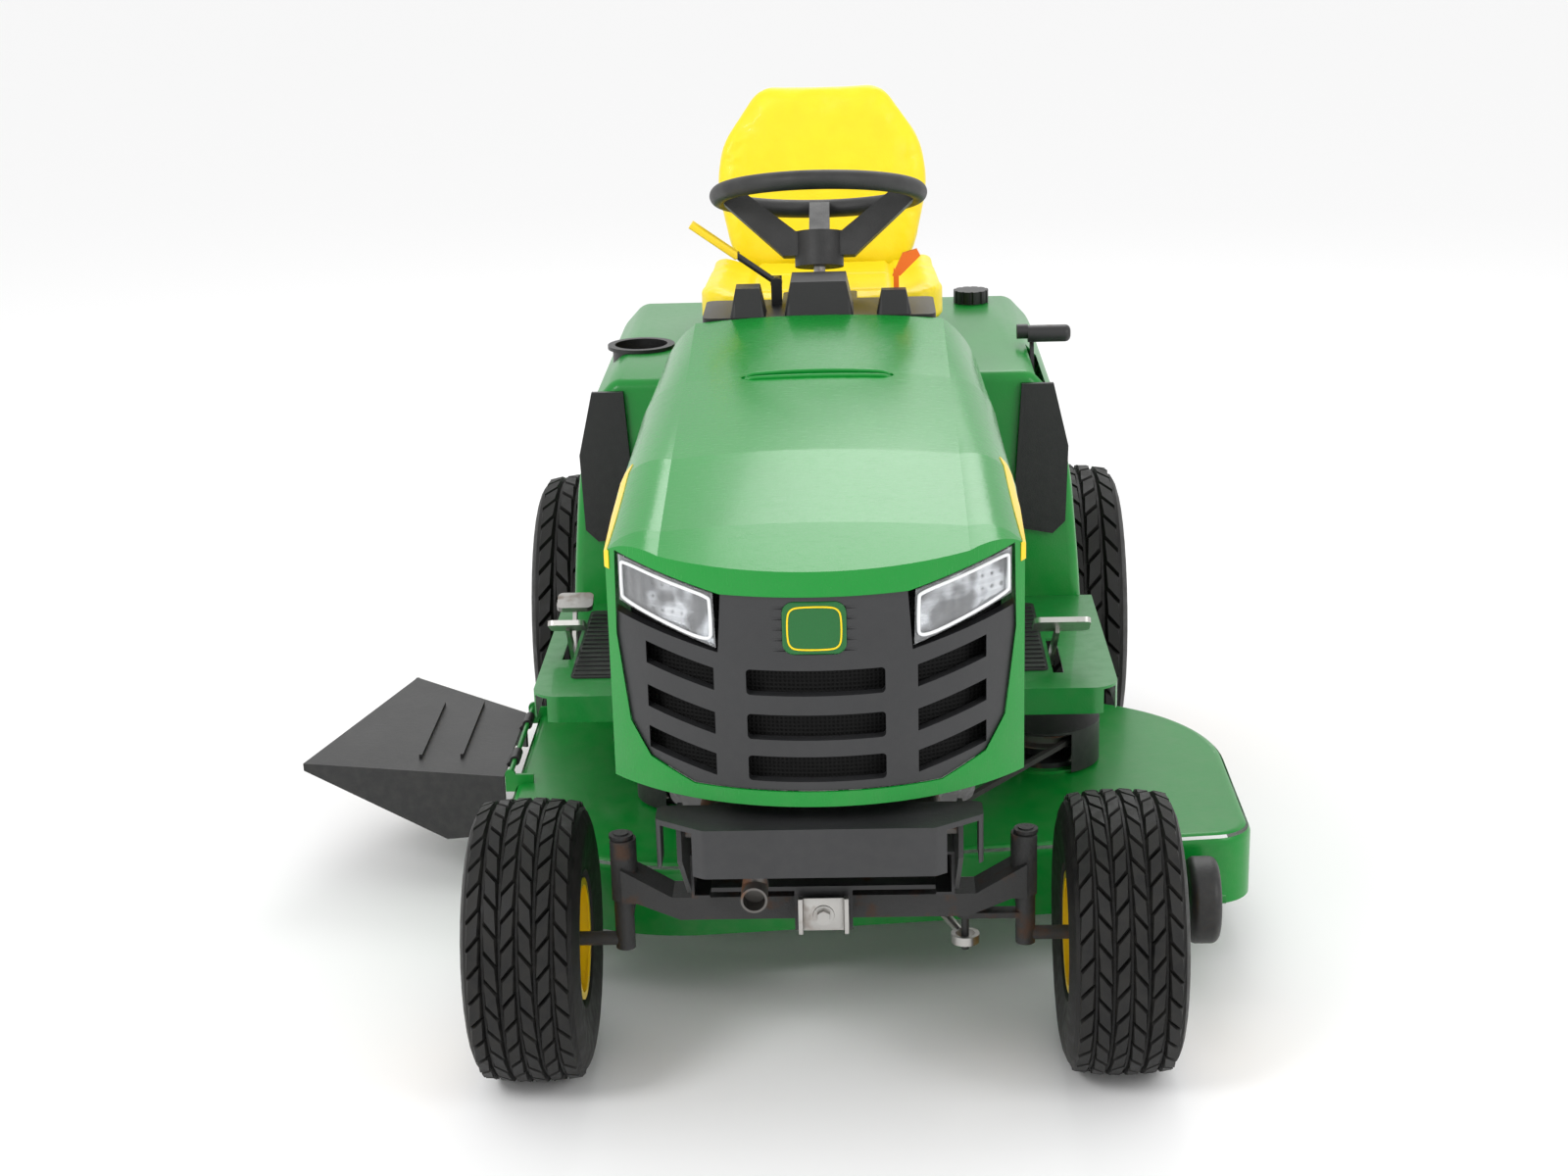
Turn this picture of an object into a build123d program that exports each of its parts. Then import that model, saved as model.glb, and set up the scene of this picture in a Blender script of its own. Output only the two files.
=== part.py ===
from build123d import *
import os
from math import cos, radians, sin, sqrt, tan

# A ride-on lawn mower, in millimetres. While it is drawn, X = 0 is the centre line, with the
# driver's left hand on +X, Y = 0 is the rear axle with the nose towards -Y, and Z = 0 is the ground.
# At the end every piece is moved by the same amount, so that the origin is under the middle.

# Wheels and stance
wheelbase = 1243.0
front_tyre_r = 190.5
front_tyre_w = 155.0
front_rim_r = 76.0
front_track = 780.0
rear_tyre_r = 254.0
rear_tyre_w = 205.0
rear_rim_r = 102.0
rear_track = 814.0
tyre_wall = 12.0
rim_wall = 3.0

# Fits
running = 0.05
seat_gap = 0.3

# Frame rails, C channels with the web outboard
rail_x = 158.0
rail_width = 24.0
rail_h = 60.0
rail_t = 4.0
rail_z = 285.0
rail_nose = 87.0
rail_tail = 215.0

front_y = -wheelbase
rail_front_y = front_y - rail_nose
rail_top = rail_z + rail_h
rail_inner_x = rail_x - rail_width / 2
rail_outer_x = rail_x + rail_width / 2

# Shaft that lifts the deck, across both rails
lift_shaft_y = -350.0
lift_shaft_z = 318.0
lift_shaft_r = 9.0

# Front axle and steering
pivot_z = 250.0
pivot_pin_r = 8.0
carrier_depth = 108.0
carrier_plate = 6.0
carrier_half = 38.0
beam_h = 32.0
beam_depth = 56.0
kingpin_x = 267.0
kingpin_r = 10.0
boss_r = 20.0
boss_top = 335.0
boss_low = 252.0
axle_swing = 5.0
steer_arm = 80.0
arm_t = 8.0
arm_z = 216.0
stub_r = 9.5
link_r = 6.0
pin_r = 5.0
drag_pin_l = 48.0
drag_eye_r = 13.0
link_fall = 31.0

# Steering wheel and column, leaning back from upright
wheel_tilt = 16.5
wheel_y = -345.0
wheel_z = 1043.0
wheel_r = 170.0
wheel_rim_r = 14.5
shaft_r = 9.0
pinion_r = 12.0
sector_r = 96.0
sector_band = 16.0
sector_z = 258.0
sector_t = 8.0

# Hood and nose
hood_hinge_back = 16.0
hood_hinge_z = 488.0
hinge_pin_r = 4.0
hinge_ear_x = 24.0
hood_rear_y = -560.0
hood_nose = 257.0
hood_t = 4.0
hood_low_z = 478.0
hood_rear_top = 895.0
hood_side_x = 258.0
hood_crease_x = 186.0
hood_front_y = front_y - hood_nose
hood_hinge_y = hood_front_y + hood_hinge_back

# Bumper, the foremost piece
bumper_reach = 275.0
bumper_top = 470.0
bumper_low = 393.0
bumper_half = 200.0
bumper_front_y = front_y - bumper_reach

# Mower deck, drawn in its raised position
blade_r = 262.0
blade_tip_gap = 17.0
deck_wall = 3.0
deck_low = 92.0
deck_top = 200.0
deck_front_gap = 27.0
spindle_pitch_x = 540.0
spindle_pitch_y = 130.0
spindle_mid_x = 67.0
deck_drop = 65.0
lobe_r = blade_r + blade_tip_gap + deck_wall
deck_front_y = front_y + front_tyre_r + deck_front_gap
blade_left_xy = (spindle_mid_x + spindle_pitch_x / 2, deck_front_y + lobe_r + spindle_pitch_y)
blade_right_xy = (spindle_mid_x - spindle_pitch_x / 2, deck_front_y + lobe_r)
deck_left_x = blade_left_xy[0] + lobe_r
deck_right_x = blade_right_xy[0] - lobe_r

# Discharge chute
chute_reach = 345.0
chute_outer_x = deck_right_x - chute_reach
chute_z = deck_top + 8.0

# Fender pan, footrests and seat
fender_top = 768.0
fender_half = 370.0
fender_front_y = -405.0
fender_rear_y = 262.0
fender_t = 4.0
arch_r = 300.0
footrest_z = 400.0
footrest_rear_y = fender_front_y
footrest_front_y = -860.0
footrest_in = 212.0
footrest_out = 428.0

# The middle of the whole machine, which the finished pieces are centred on
middle_x = (deck_left_x + chute_outer_x) / 2
middle_y = (bumper_front_y + fender_rear_y) / 2

pieces = {}


def at_x(x):
    """A sketch plane across the machine: its own x runs along Y and its own y along Z."""
    return Plane.YZ.offset(x)


def at_y(y):
    """A sketch plane facing the nose: its own x runs along X and its own y along Z."""
    return Plane.XZ.offset(-y)


def at_z(z):
    """A level sketch plane."""
    return Plane.XY.offset(z)


def keep(name, built):
    """Label a finished piece and hold it for export."""
    built.part.label = name
    pieces[name] = built.part


# ---------------------------------------------------------------- frame rails
def frame_rail(side):
    """Pressed C channel, its flanges turned inboard, with a bearing hole for the lift shaft."""
    with BuildPart() as rail:
        with BuildSketch(at_y(rail_front_y)):
            with Locations((side * rail_x, rail_z + rail_h / 2)):
                Rectangle(rail_width, rail_h)
            with Locations((side * (rail_x - rail_t), rail_z + rail_h / 2)):
                Rectangle(rail_width, rail_h - 2 * rail_t, mode=Mode.SUBTRACT)
        extrude(amount=-(rail_tail - rail_front_y))
        with BuildSketch(at_x(side * rail_x)):
            with Locations((lift_shaft_y, lift_shaft_z)):
                Circle(lift_shaft_r + running)
        extrude(amount=rail_width, both=True, mode=Mode.SUBTRACT)
    return rail


frame_rails = frame_rail(1)
frame_rails.part = Compound([frame_rails.part, frame_rail(-1).part])
keep("frame_rails", frame_rails)

# ---------------------------------------------------------------- axle carrier
# The channel under the rails' front ends, with the pin that the front axle rocks on.
carrier_front_y = front_y - carrier_depth / 2
with BuildPart() as axle_carrier:
    with BuildSketch(at_z(rail_z)):
        with Locations((0, front_y)):
            Rectangle(2 * rail_outer_x, carrier_depth)
    extrude(amount=-carrier_plate)
    for plate_y in (carrier_front_y, front_y + carrier_depth / 2 - carrier_plate):
        with BuildSketch(at_y(plate_y)):
            with Locations((0, pivot_z + 2)):
                Rectangle(2 * carrier_half, 2 * (rail_z - pivot_z - 6))
        extrude(amount=-carrier_plate)
    with BuildSketch(at_y(carrier_front_y - 10)):
        with Locations((0, pivot_z)):
            Circle(pivot_pin_r)
    extrude(amount=-(carrier_depth + 14))
    with BuildSketch(at_y(carrier_front_y - 9)):
        with Locations((0, pivot_z)):
            RegularPolygon(13, 6)
    extrude(amount=-9)
keep("axle_carrier", axle_carrier)

# ---------------------------------------------------------------- front axle
# A cast beam that rocks on the carrier's pin and carries the kingpin bosses at its ends.
beam_low = pivot_z - beam_h / 2 - 6
with BuildPart() as front_axle:
    with BuildSketch(at_y(front_y - beam_depth / 2)):
        with BuildLine():
            Polyline(
                (-kingpin_x, boss_low),
                (-kingpin_x + boss_r, boss_low),
                (-190, beam_low),
                (190, beam_low),
                (kingpin_x - boss_r, boss_low),
                (kingpin_x, boss_low),
                (kingpin_x, boss_low + 48),
                (200, beam_low + beam_h),
                (-200, beam_low + beam_h),
                (-kingpin_x, boss_low + 48),
                close=True,
            )
        make_face()
    extrude(amount=-beam_depth)
    with BuildSketch(at_y(front_y - carrier_depth / 2 + carrier_plate + 1)):
        with Locations((0, pivot_z)):
            Circle(22)
    extrude(amount=-(carrier_depth - 2 * carrier_plate - 2))
    for side in (-1, 1):
        with BuildSketch(at_z(boss_low)):
            with Locations((side * kingpin_x, front_y)):
                Circle(boss_r)
        extrude(amount=boss_top - boss_low)
    for side in (-1, 1):
        with BuildSketch(at_z(boss_low - 10)):
            with Locations((side * (kingpin_x + 34), front_y)):
                Rectangle(40, beam_depth + 4)
        extrude(amount=boss_top, mode=Mode.SUBTRACT)
        with BuildSketch(at_z(boss_low - 10)):
            with Locations((side * kingpin_x, front_y)):
                Circle(kingpin_r + running)
        extrude(amount=boss_top, mode=Mode.SUBTRACT)
    with BuildSketch(at_y(front_y - carrier_depth)):
        with Locations((0, pivot_z)):
            Circle(pivot_pin_r + running)
    extrude(amount=-2 * carrier_depth, mode=Mode.SUBTRACT)
keep("front_axle", front_axle)

# ---------------------------------------------------------------- steering knuckles
stub_end_x = front_track / 2 + front_tyre_w / 2 - 12
link_pin_x = kingpin_x
link_pin_y = front_y + steer_arm


def knuckle(side):
    """Kingpin, upright, stub axle and steering arm, forged in one."""
    with BuildPart() as body:
        with BuildSketch(at_z(front_tyre_r - 13)):
            with Locations((side * kingpin_x, front_y)):
                Circle(13)
        extrude(amount=boss_low - 1 - front_tyre_r + 13)
        with BuildSketch(at_z(boss_low - 2)):
            with Locations((side * kingpin_x, front_y)):
                Circle(kingpin_r)
        extrude(amount=boss_top - boss_low + 10)
        with BuildSketch(at_z(boss_top + 1)):
            with Locations((side * kingpin_x, front_y)):
                Circle(16)
        extrude(amount=5)
        with BuildSketch(at_x(side * kingpin_x)):
            with Locations((front_y, front_tyre_r)):
                Circle(stub_r)
        extrude(amount=side * (stub_end_x - kingpin_x))
        with BuildSketch(at_z(arm_z)):
            with Locations((side * kingpin_x, front_y + steer_arm / 2)):
                SlotCenterToCenter(steer_arm, 22, rotation=90)
            with Locations((side * kingpin_x, link_pin_y)):
                Circle(pin_r + running, mode=Mode.SUBTRACT)
        extrude(amount=arm_t)
        if side > 0:
            with BuildSketch(at_z(arm_z)):
                with Locations((kingpin_x - steer_arm / 2, front_y)):
                    SlotCenterToCenter(steer_arm, 22)
            extrude(amount=arm_t)
            with BuildSketch(at_z(arm_z)):
                with Locations((kingpin_x - steer_arm, front_y)):
                    Circle(pin_r)
            extrude(amount=-drag_pin_l)
    return body


for name, side in (("knuckle_left", 1), ("knuckle_right", -1)):
    keep(name, knuckle(side))

# ---------------------------------------------------------------- tie rod
# A straight rod behind the axle; its two pins drop into the knuckles' arms.
tie_rod_z = arm_z + arm_t + 1 + link_r
with BuildPart() as tie_rod:
    with BuildSketch(at_x(-link_pin_x)):
        with Locations((link_pin_y, tie_rod_z)):
            Circle(link_r)
    extrude(amount=2 * link_pin_x)
    for side in (-1, 1):
        with BuildSketch(at_z(tie_rod_z - link_r)):
            with Locations((side * link_pin_x, link_pin_y)):
                Circle(9)
        extrude(amount=2 * link_r)
        with BuildSketch(at_z(arm_z - 5)):
            with Locations((side * link_pin_x, link_pin_y)):
                Circle(pin_r)
        extrude(amount=arm_t + 12)
keep("tie_rod", tie_rod)


# ---------------------------------------------------------------- wheels
def tyre(radius, width, rim_r, wall, centre_x, axle_y):
    """A closed hoop of rubber: round shoulders, side walls down to the beads, hollow inside."""
    half = width / 2
    shoulder = width * 0.24
    with BuildPart() as hoop:
        with BuildSketch(Plane.XY) as section:
            with Locations((0, (radius + rim_r) / 2)):
                RectangleRounded(width, radius - rim_r, shoulder)
            with Locations((0, (radius + rim_r) / 2)):
                RectangleRounded(width - 2 * wall, radius - rim_r - 2 * wall, shoulder - wall * 0.6,
                                 mode=Mode.SUBTRACT)
            with Locations((0, rim_r + wall / 2)):
                Rectangle(2 * half - 2 * shoulder, wall * 1.5, mode=Mode.SUBTRACT)
        revolve(axis=Axis.X)
    return place_wheel(hoop, centre_x, axle_y, radius)


def place_wheel(built, centre_x, axle_y, axle_z):
    """Move a wheel drawn about the X axis to its axle."""
    built.part = built.part.moved(Location((centre_x, axle_y, axle_z)))
    return built


def rim(rim_r, width, tyre_width, centre_x, axle_y, axle_z, side, bore_r):
    """A pressed dish: barrel with a lip at each edge, a deep disc and a hub tube."""
    lip_x = tyre_width / 2 * 0.52 + 24
    outer = rim_r - seat_gap
    with BuildPart() as dish:
        with BuildSketch(Plane.XY):
            with Locations((0, outer - rim_wall / 2)):
                Rectangle(2 * lip_x, rim_wall)
            for edge in (-1, 1):
                with Locations((edge * (lip_x + 1.5), outer + 1)):
                    Rectangle(3, rim_wall * 2 + 4)
            with Locations((side * lip_x * 0.25, outer / 2)):
                Rectangle(4, outer - rim_wall)
            with Locations((0, (22 + bore_r) / 2)):
                Rectangle(width, 22 - bore_r)
        revolve(axis=Axis.X)
        with BuildSketch(Plane.YZ.offset(-width)):
            Circle(bore_r)
        extrude(amount=2 * width, mode=Mode.SUBTRACT)
        with BuildSketch(Plane.YZ.offset(-width)):
            with PolarLocations(outer * 0.62, 4, start_angle=45):
                Circle(outer * 0.13)
        extrude(amount=2 * width, mode=Mode.SUBTRACT)
    return place_wheel(dish, centre_x, axle_y, axle_z)


front_hub_len = front_tyre_w - 45
rear_hub_len = rear_tyre_w * 0.62
rear_axle_in = 62.0
for word, side in (("left", 1), ("right", -1)):
    front_x = side * front_track / 2
    rear_x = side * rear_track / 2
    keep("front_tyre_" + word,
         tyre(front_tyre_r, front_tyre_w, front_rim_r, tyre_wall, front_x, front_y))
    keep("rear_tyre_" + word,
         tyre(rear_tyre_r, rear_tyre_w, rear_rim_r, tyre_wall, rear_x, 0))
    front_rim = rim(front_rim_r, front_hub_len, front_tyre_w, front_x, front_y, front_tyre_r,
                    side, stub_r + running)
    # Dust cap over the hub's outer end.
    cap_x = front_x + side * (front_hub_len / 2 + seat_gap)
    with BuildPart() as dust_cap:
        with BuildSketch(at_x(cap_x)):
            with Locations((front_y, front_tyre_r)):
                Circle(24)
        extrude(amount=side * 16)
        with BuildSketch(at_x(cap_x)):
            with Locations((front_y, front_tyre_r)):
                Circle(20)
        extrude(amount=side * 13, mode=Mode.SUBTRACT)
    front_rim.part = Compound([front_rim.part, dust_cap.part])
    keep("front_rim_" + word, front_rim)
    rear_rim = rim(rear_rim_r, rear_hub_len, rear_tyre_w, rear_x, 0, rear_tyre_r,
                   side, stub_r + running)
    # Axle shaft from the transaxle, with the washer that holds the wheel on.
    shaft_len = abs(rear_x) + rear_hub_len / 2 + 6 - rear_axle_in
    with BuildPart() as axle_shaft:
        with BuildSketch(at_x(side * rear_axle_in)):
            with Locations((0, rear_tyre_r)):
                Circle(stub_r)
        extrude(amount=side * shaft_len)
        with BuildSketch(at_x(rear_x + side * (rear_hub_len / 2 + seat_gap))):
            with Locations((0, rear_tyre_r)):
                Circle(19)
        extrude(amount=side * 3)
    rear_rim.part = Compound([rear_rim.part, axle_shaft.part])
    keep("rear_rim_" + word, rear_rim)

# ---------------------------------------------------------------- transaxle
# Gearbox with the two axle tubes and the input shaft standing up at its front.
input_y = -90.0
drive_belt_z = 300.0
tube_end_x = rear_track / 2 - rear_hub_len / 2 - 5
with BuildPart() as transaxle:
    with BuildSketch(at_z(176)):
        with Locations((0, -20)):
            RectangleRounded(190, 190, 30)
    extrude(amount=104, taper=4)
    with BuildSketch(at_x(-tube_end_x)):
        with Locations((0, rear_tyre_r)):
            Circle(24)
    extrude(amount=2 * tube_end_x)
    with BuildSketch(at_x(-tube_end_x)):
        with Locations((0, rear_tyre_r)):
            Circle(stub_r + running)
    extrude(amount=tube_end_x - rear_axle_in + 4, mode=Mode.SUBTRACT)
    with BuildSketch(at_x(tube_end_x)):
        with Locations((0, rear_tyre_r)):
            Circle(stub_r + running)
    extrude(amount=-(tube_end_x - rear_axle_in + 4), mode=Mode.SUBTRACT)
    with BuildSketch(at_z(270)):
        with Locations((0, input_y)):
            Circle(8)
    extrude(amount=drive_belt_z + 18 - 270)
    # Pads that carry the rails.
    for side in (-1, 1):
        with BuildSketch(at_z(rear_tyre_r + 15)):
            with Locations((side * rail_x, 0)):
                Rectangle(rail_width + 8, 70)
        extrude(amount=rail_z - rear_tyre_r - 15)
keep("transaxle", transaxle)

# ---------------------------------------------------------------- engine
# Vertical-shaft twin: crankcase on the rails, two finned cylinders leaning forward and out.
crank_y = front_y + 150
engine_half = 175.0
crank_r = 12.7
engine_plate_t = 5.0
crankcase_top = 480.0
with BuildPart() as engine_block:
    with BuildSketch(at_z(rail_top)):
        with Locations((0, crank_y)):
            Rectangle(2 * rail_outer_x, 300)
            Circle(crank_r + 8, mode=Mode.SUBTRACT)
    extrude(amount=engine_plate_t)
    with BuildSketch(at_z(rail_top + engine_plate_t)):
        with Locations((0, crank_y)):
            RectangleRounded(230, 240, 40)
    extrude(amount=crankcase_top - rail_top - engine_plate_t)
    with BuildSketch(at_z(crankcase_top)):
        with Locations((0, crank_y)):
            Circle(118)
    extrude(amount=30)
    for side in (-1, 1):
        lean = Plane(origin=(side * 60, crank_y - 60, 425), x_dir=(1, side, 0), z_dir=(side, -1, 0))
        with BuildSketch(lean):
            Circle(46)
        extrude(amount=120)
        for fin in range(7):
            with BuildSketch(lean.offset(48 + fin * 10)):
                RectangleRounded(118, 108, 16)
            extrude(amount=4)
        with BuildSketch(lean.offset(118)):
            RectangleRounded(104, 96, 14)
        extrude(amount=30)
    with BuildSketch(at_z(rail_top + engine_plate_t)):
        with Locations((0, crank_y)):
            Circle(crank_r + 8)
    extrude(amount=-20)
    with BuildSketch(at_z(rail_top + engine_plate_t - 30)):
        with Locations((0, crank_y)):
            Circle(crank_r + running)
    extrude(amount=130, mode=Mode.SUBTRACT)
keep("engine_block", engine_block)

# Blower housing over the flywheel, with its screened inlet and the air cleaner behind it.
blower_z = crankcase_top + 30 + seat_gap
with BuildPart() as blower_shroud:
    with BuildSketch(at_z(blower_z)):
        with Locations((0, crank_y)):
            RectangleRounded(290, 290, 70)
    extrude(amount=120, taper=6)
    with BuildSketch(at_z(blower_z)):
        with Locations((0, crank_y)):
            RectangleRounded(282, 282, 66)
    extrude(amount=116, taper=6, mode=Mode.SUBTRACT)
    with BuildSketch(at_z(blower_z + 110)):
        with Locations((0, crank_y)):
            with PolarLocations(52, 12):
                Circle(9)
            with PolarLocations(82, 18):
                Circle(9)
    extrude(amount=30, mode=Mode.SUBTRACT)
    with BuildSketch(at_z(blower_z)):
        with Locations((0, crank_y)):
            Circle(20)
    extrude(amount=117)
    with BuildSketch(at_z(blower_z + 118)):
        with Locations((0, crank_y + 92)):
            RectangleRounded(180, 80, 18)
    extrude(amount=62)
keep("blower_shroud", blower_shroud)

# Muffler across the nose, with its outlet pipe turned forward under the bumper.
muffler_y = front_y - 142
muffler_z = 408.0
muffler_r = 42.0
outlet_x = -85.0
outlet_z = 321.0
with BuildPart() as muffler:
    with BuildSketch(at_x(-150)):
        with Locations((muffler_y, muffler_z)):
            Circle(muffler_r)
    extrude(amount=300)
    fillet(muffler.edges().filter_by(GeomType.CIRCLE), 12)
    with BuildSketch(at_z(muffler_z)):
        with Locations((outlet_x, muffler_y)):
            Circle(15)
    extrude(amount=-(muffler_z - outlet_z + 14))
    with BuildSketch(at_y(muffler_y + 16)):
        with Locations((outlet_x, outlet_z)):
            Circle(17)
    extrude(amount=52)
    with BuildSketch(at_y(muffler_y - 10)):
        with Locations((outlet_x, outlet_z)):
            Circle(14)
    extrude(amount=40, mode=Mode.SUBTRACT)
    # Stubs that rest against the bumper's arms.
    with BuildSketch(at_x(-rail_outer_x + seat_gap)):
        with Locations((muffler_y, muffler_z)):
            Circle(14)
    extrude(amount=2 * (rail_outer_x - seat_gap))
    # Two exhaust pipes back to the cylinder heads.
    for side in (-1, 1):
        with BuildSketch(at_y(muffler_y)):
            with Locations((side * 120, muffler_z)):
                Circle(11)
        extrude(amount=-50)
keep("muffler", muffler)

# ---------------------------------------------------------------- battery
battery_y = -90.0
battery_h = 160.0
with BuildPart() as battery:
    with BuildSketch(at_z(rail_top + 3)):
        with Locations((0, battery_y)):
            RectangleRounded(194, 124, 6)
    extrude(amount=battery_h)
    for side in (-1, 1):
        with BuildSketch(at_z(rail_top + 3 + battery_h)):
            with Locations((side * 74, battery_y - 40)):
                Rectangle(18, 14)
        extrude(amount=14)
    # Tray under the case, across the rails.
    with BuildSketch(at_z(rail_top)):
        with Locations((0, battery_y)):
            Rectangle(2 * rail_outer_x, 130)
    extrude(amount=3)
keep("battery", battery)

# ---------------------------------------------------------------- belts and their pulleys
belt_t = 9.0
deck_belt_z = 247.0
crank_pulley_r = 55.0
pto_pulley_r = 62.0
input_pulley_r = 72.0
spindle_pulley_r = 64.0


def pulley(x, y, radius, middle_z, bore_r):
    """A turned V pulley: a hub, two flanges and a sloping groove for the belt."""
    floor_r = radius - belt_t - 1
    with BuildPart() as body:
        with BuildSketch(Plane(origin=(x, y, 0), x_dir=(1, 0, 0), z_dir=(0, -1, 0))):
            with BuildLine():
                Polyline(
                    (bore_r, middle_z - 10),
                    (radius, middle_z - 10),
                    (radius, middle_z - 8),
                    (floor_r, middle_z - 4.6),
                    (floor_r, middle_z + 4.6),
                    (radius, middle_z + 8),
                    (radius, middle_z + 10),
                    (bore_r, middle_z + 10),
                    close=True,
                )
            make_face()
        revolve(axis=Axis((x, y, 0), (0, 0, 1)))
    return body


# The crankshaft with the drive pulley fast on it, and the blade-drive pulley free below.
crank = pulley(0, crank_y, crank_pulley_r, drive_belt_z, crank_r - 1)
with BuildPart() as crankshaft:
    with BuildSketch(at_z(deck_belt_z - 22)):
        with Locations((0, crank_y)):
            Circle(crank_r)
    extrude(amount=rail_top + 90 - deck_belt_z + 22)
    with BuildSketch(at_z(deck_belt_z - 25)):
        with Locations((0, crank_y)):
            RegularPolygon(17, 6)
    extrude(amount=7)
crank.part = crank.part + crankshaft.part
keep("crank_pulley", crank)
keep("blade_drive_pulley", pulley(0, crank_y, pto_pulley_r, deck_belt_z, crank_r + running))
keep("transaxle_pulley", pulley(0, input_y, input_pulley_r, drive_belt_z, 8 + running))


def belt_loop(wheels, middle_z):
    """A belt round some pulleys, each given as (x, y, belt's inner radius), anticlockwise."""
    with BuildPart() as band:
        for grow, mode in ((belt_t, Mode.ADD), (0, Mode.SUBTRACT)):
            with BuildSketch(at_z(middle_z - 4)):
                for x, y, r in wheels:
                    with Locations((x, y)):
                        Circle(r + grow)
                make_hull()
            extrude(amount=8, mode=mode)
    return band



keep("drive_belt", belt_loop(((0, crank_y, crank_pulley_r - belt_t - 1 + seat_gap),
                              (0, input_y, input_pulley_r - belt_t - 1 + seat_gap)), drive_belt_z))

# ---------------------------------------------------------------- steering wheel, shaft and column
tilt = radians(wheel_tilt)
wheel_plane = Plane(origin=(0, wheel_y, wheel_z), x_dir=(1, 0, 0), z_dir=(0, sin(tilt), cos(tilt)))
spoke_plane = Plane(origin=(0, wheel_y, wheel_z), x_dir=(1, 0, 0), z_dir=(0, -cos(tilt), sin(tilt)))
rim_mid_r = wheel_r - wheel_rim_r
hub_low = -112.0
hub_top = -58.0
pinion_mid = -(wheel_z - sector_z - sector_t / 2) / cos(tilt)
pinion_y = wheel_y + pinion_mid * sin(tilt)
with BuildPart(wheel_plane) as steering_wheel:
    Torus(rim_mid_r, wheel_rim_r)
    with BuildSketch(spoke_plane):
        with BuildLine():
            Polyline(
                (-rim_mid_r, 8),
                (-rim_mid_r + 4, -9),
                (-56, hub_low + 16),
                (56, hub_low + 16),
                (rim_mid_r - 4, -9),
                (rim_mid_r, 8),
                (rim_mid_r - 38, 6),
                (36, hub_top),
                (-36, hub_top),
                (-rim_mid_r + 38, 6),
                close=True,
            )
        make_face()
    extrude(amount=19, both=True)
    with BuildSketch(wheel_plane.offset(hub_low)):
        Circle(38)
    extrude(amount=hub_top - hub_low)
    with BuildSketch(Plane(origin=(0, wheel_y, wheel_z), x_dir=(0, cos(tilt), -sin(tilt)),
                           z_dir=(-1, 0, 0))):
        with BuildLine():
            Polyline(
                (rim_mid_r, -8),
                (rim_mid_r - 4, 9),
                (60, -hub_low - 22),
                (20, -hub_low - 14),
                (20, -hub_top),
                (rim_mid_r - 34, -6),
                close=True,
            )
        make_face()
    extrude(amount=16, both=True)
    with BuildSketch(wheel_plane.offset(hub_low - 20)):
        Circle(shaft_r + running)
    extrude(amount=44, mode=Mode.SUBTRACT)
keep("steering_wheel", steering_wheel)

# The shaft runs straight down to a pinion between the rails.
with BuildPart() as steering_shaft:
    with BuildSketch(wheel_plane.offset(hub_low + 22)):
        Circle(shaft_r)
    extrude(amount=pinion_mid - 16 - hub_low - 22)
    with BuildSketch(wheel_plane.offset(pinion_mid - 13)):
        Circle(pinion_r)
        with PolarLocations(pinion_r, 8):
            Circle(2.2, mode=Mode.SUBTRACT)
    extrude(amount=26)
keep("steering_shaft", steering_shaft)

# Toothed sector on an upright pivot ahead of the pinion, with the arm that pulls the drag link.
sector_pivot_y = pinion_y - (sector_r - pinion_r)
sector_pin_r = 8.0
sector_mount_z = rail_z + 33
sector_half_angle = 50.0
sector_inner = sector_r + 8
tooth_pitch = 5.0
pivot_plane = Plane(origin=(0, sector_pivot_y, 0), x_dir=(0, 1, 0), z_dir=(0, 0, 1))
with BuildPart() as steering_sector:
    with BuildSketch(pivot_plane.offset(sector_z)):
        Circle(sector_inner + sector_band)
        Circle(sector_inner, mode=Mode.SUBTRACT)
        wedge = (sector_inner + sector_band) / cos(radians(sector_half_angle))
        with BuildLine():
            Polyline(
                (0, 0),
                (wedge * cos(radians(sector_half_angle)), -wedge * sin(radians(sector_half_angle))),
                (wedge * cos(radians(sector_half_angle)), wedge * sin(radians(sector_half_angle))),
                close=True,
            )
        make_face(mode=Mode.INTERSECT)
        teeth = int(2 * sector_half_angle / tooth_pitch)
        with PolarLocations(sector_inner, teeth, start_angle=-sector_half_angle + 2,
                            angular_range=2 * sector_half_angle):
            Circle(2.6, mode=Mode.SUBTRACT)
        with PolarLocations(sector_inner / 2 + 3, 2, start_angle=-sector_half_angle + 9,
                            angular_range=4 * sector_half_angle - 36):
            Rectangle(sector_inner - 2, 12)
        Circle(22)
        with Locations((0, steer_arm / 2)):
            SlotCenterToCenter(steer_arm, 24, rotation=90)
        with Locations((0, steer_arm)):
            Circle(pin_r + running, mode=Mode.SUBTRACT)
    extrude(amount=sector_t)
    with BuildSketch(pivot_plane.offset(sector_z)):
        Circle(sector_pin_r)
    extrude(amount=sector_mount_z + 14 - sector_z)
    with BuildSketch(pivot_plane.offset(sector_mount_z + 7)):
        RegularPolygon(12, 6)
    extrude(amount=7)
keep("steering_sector", steering_sector)

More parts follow.
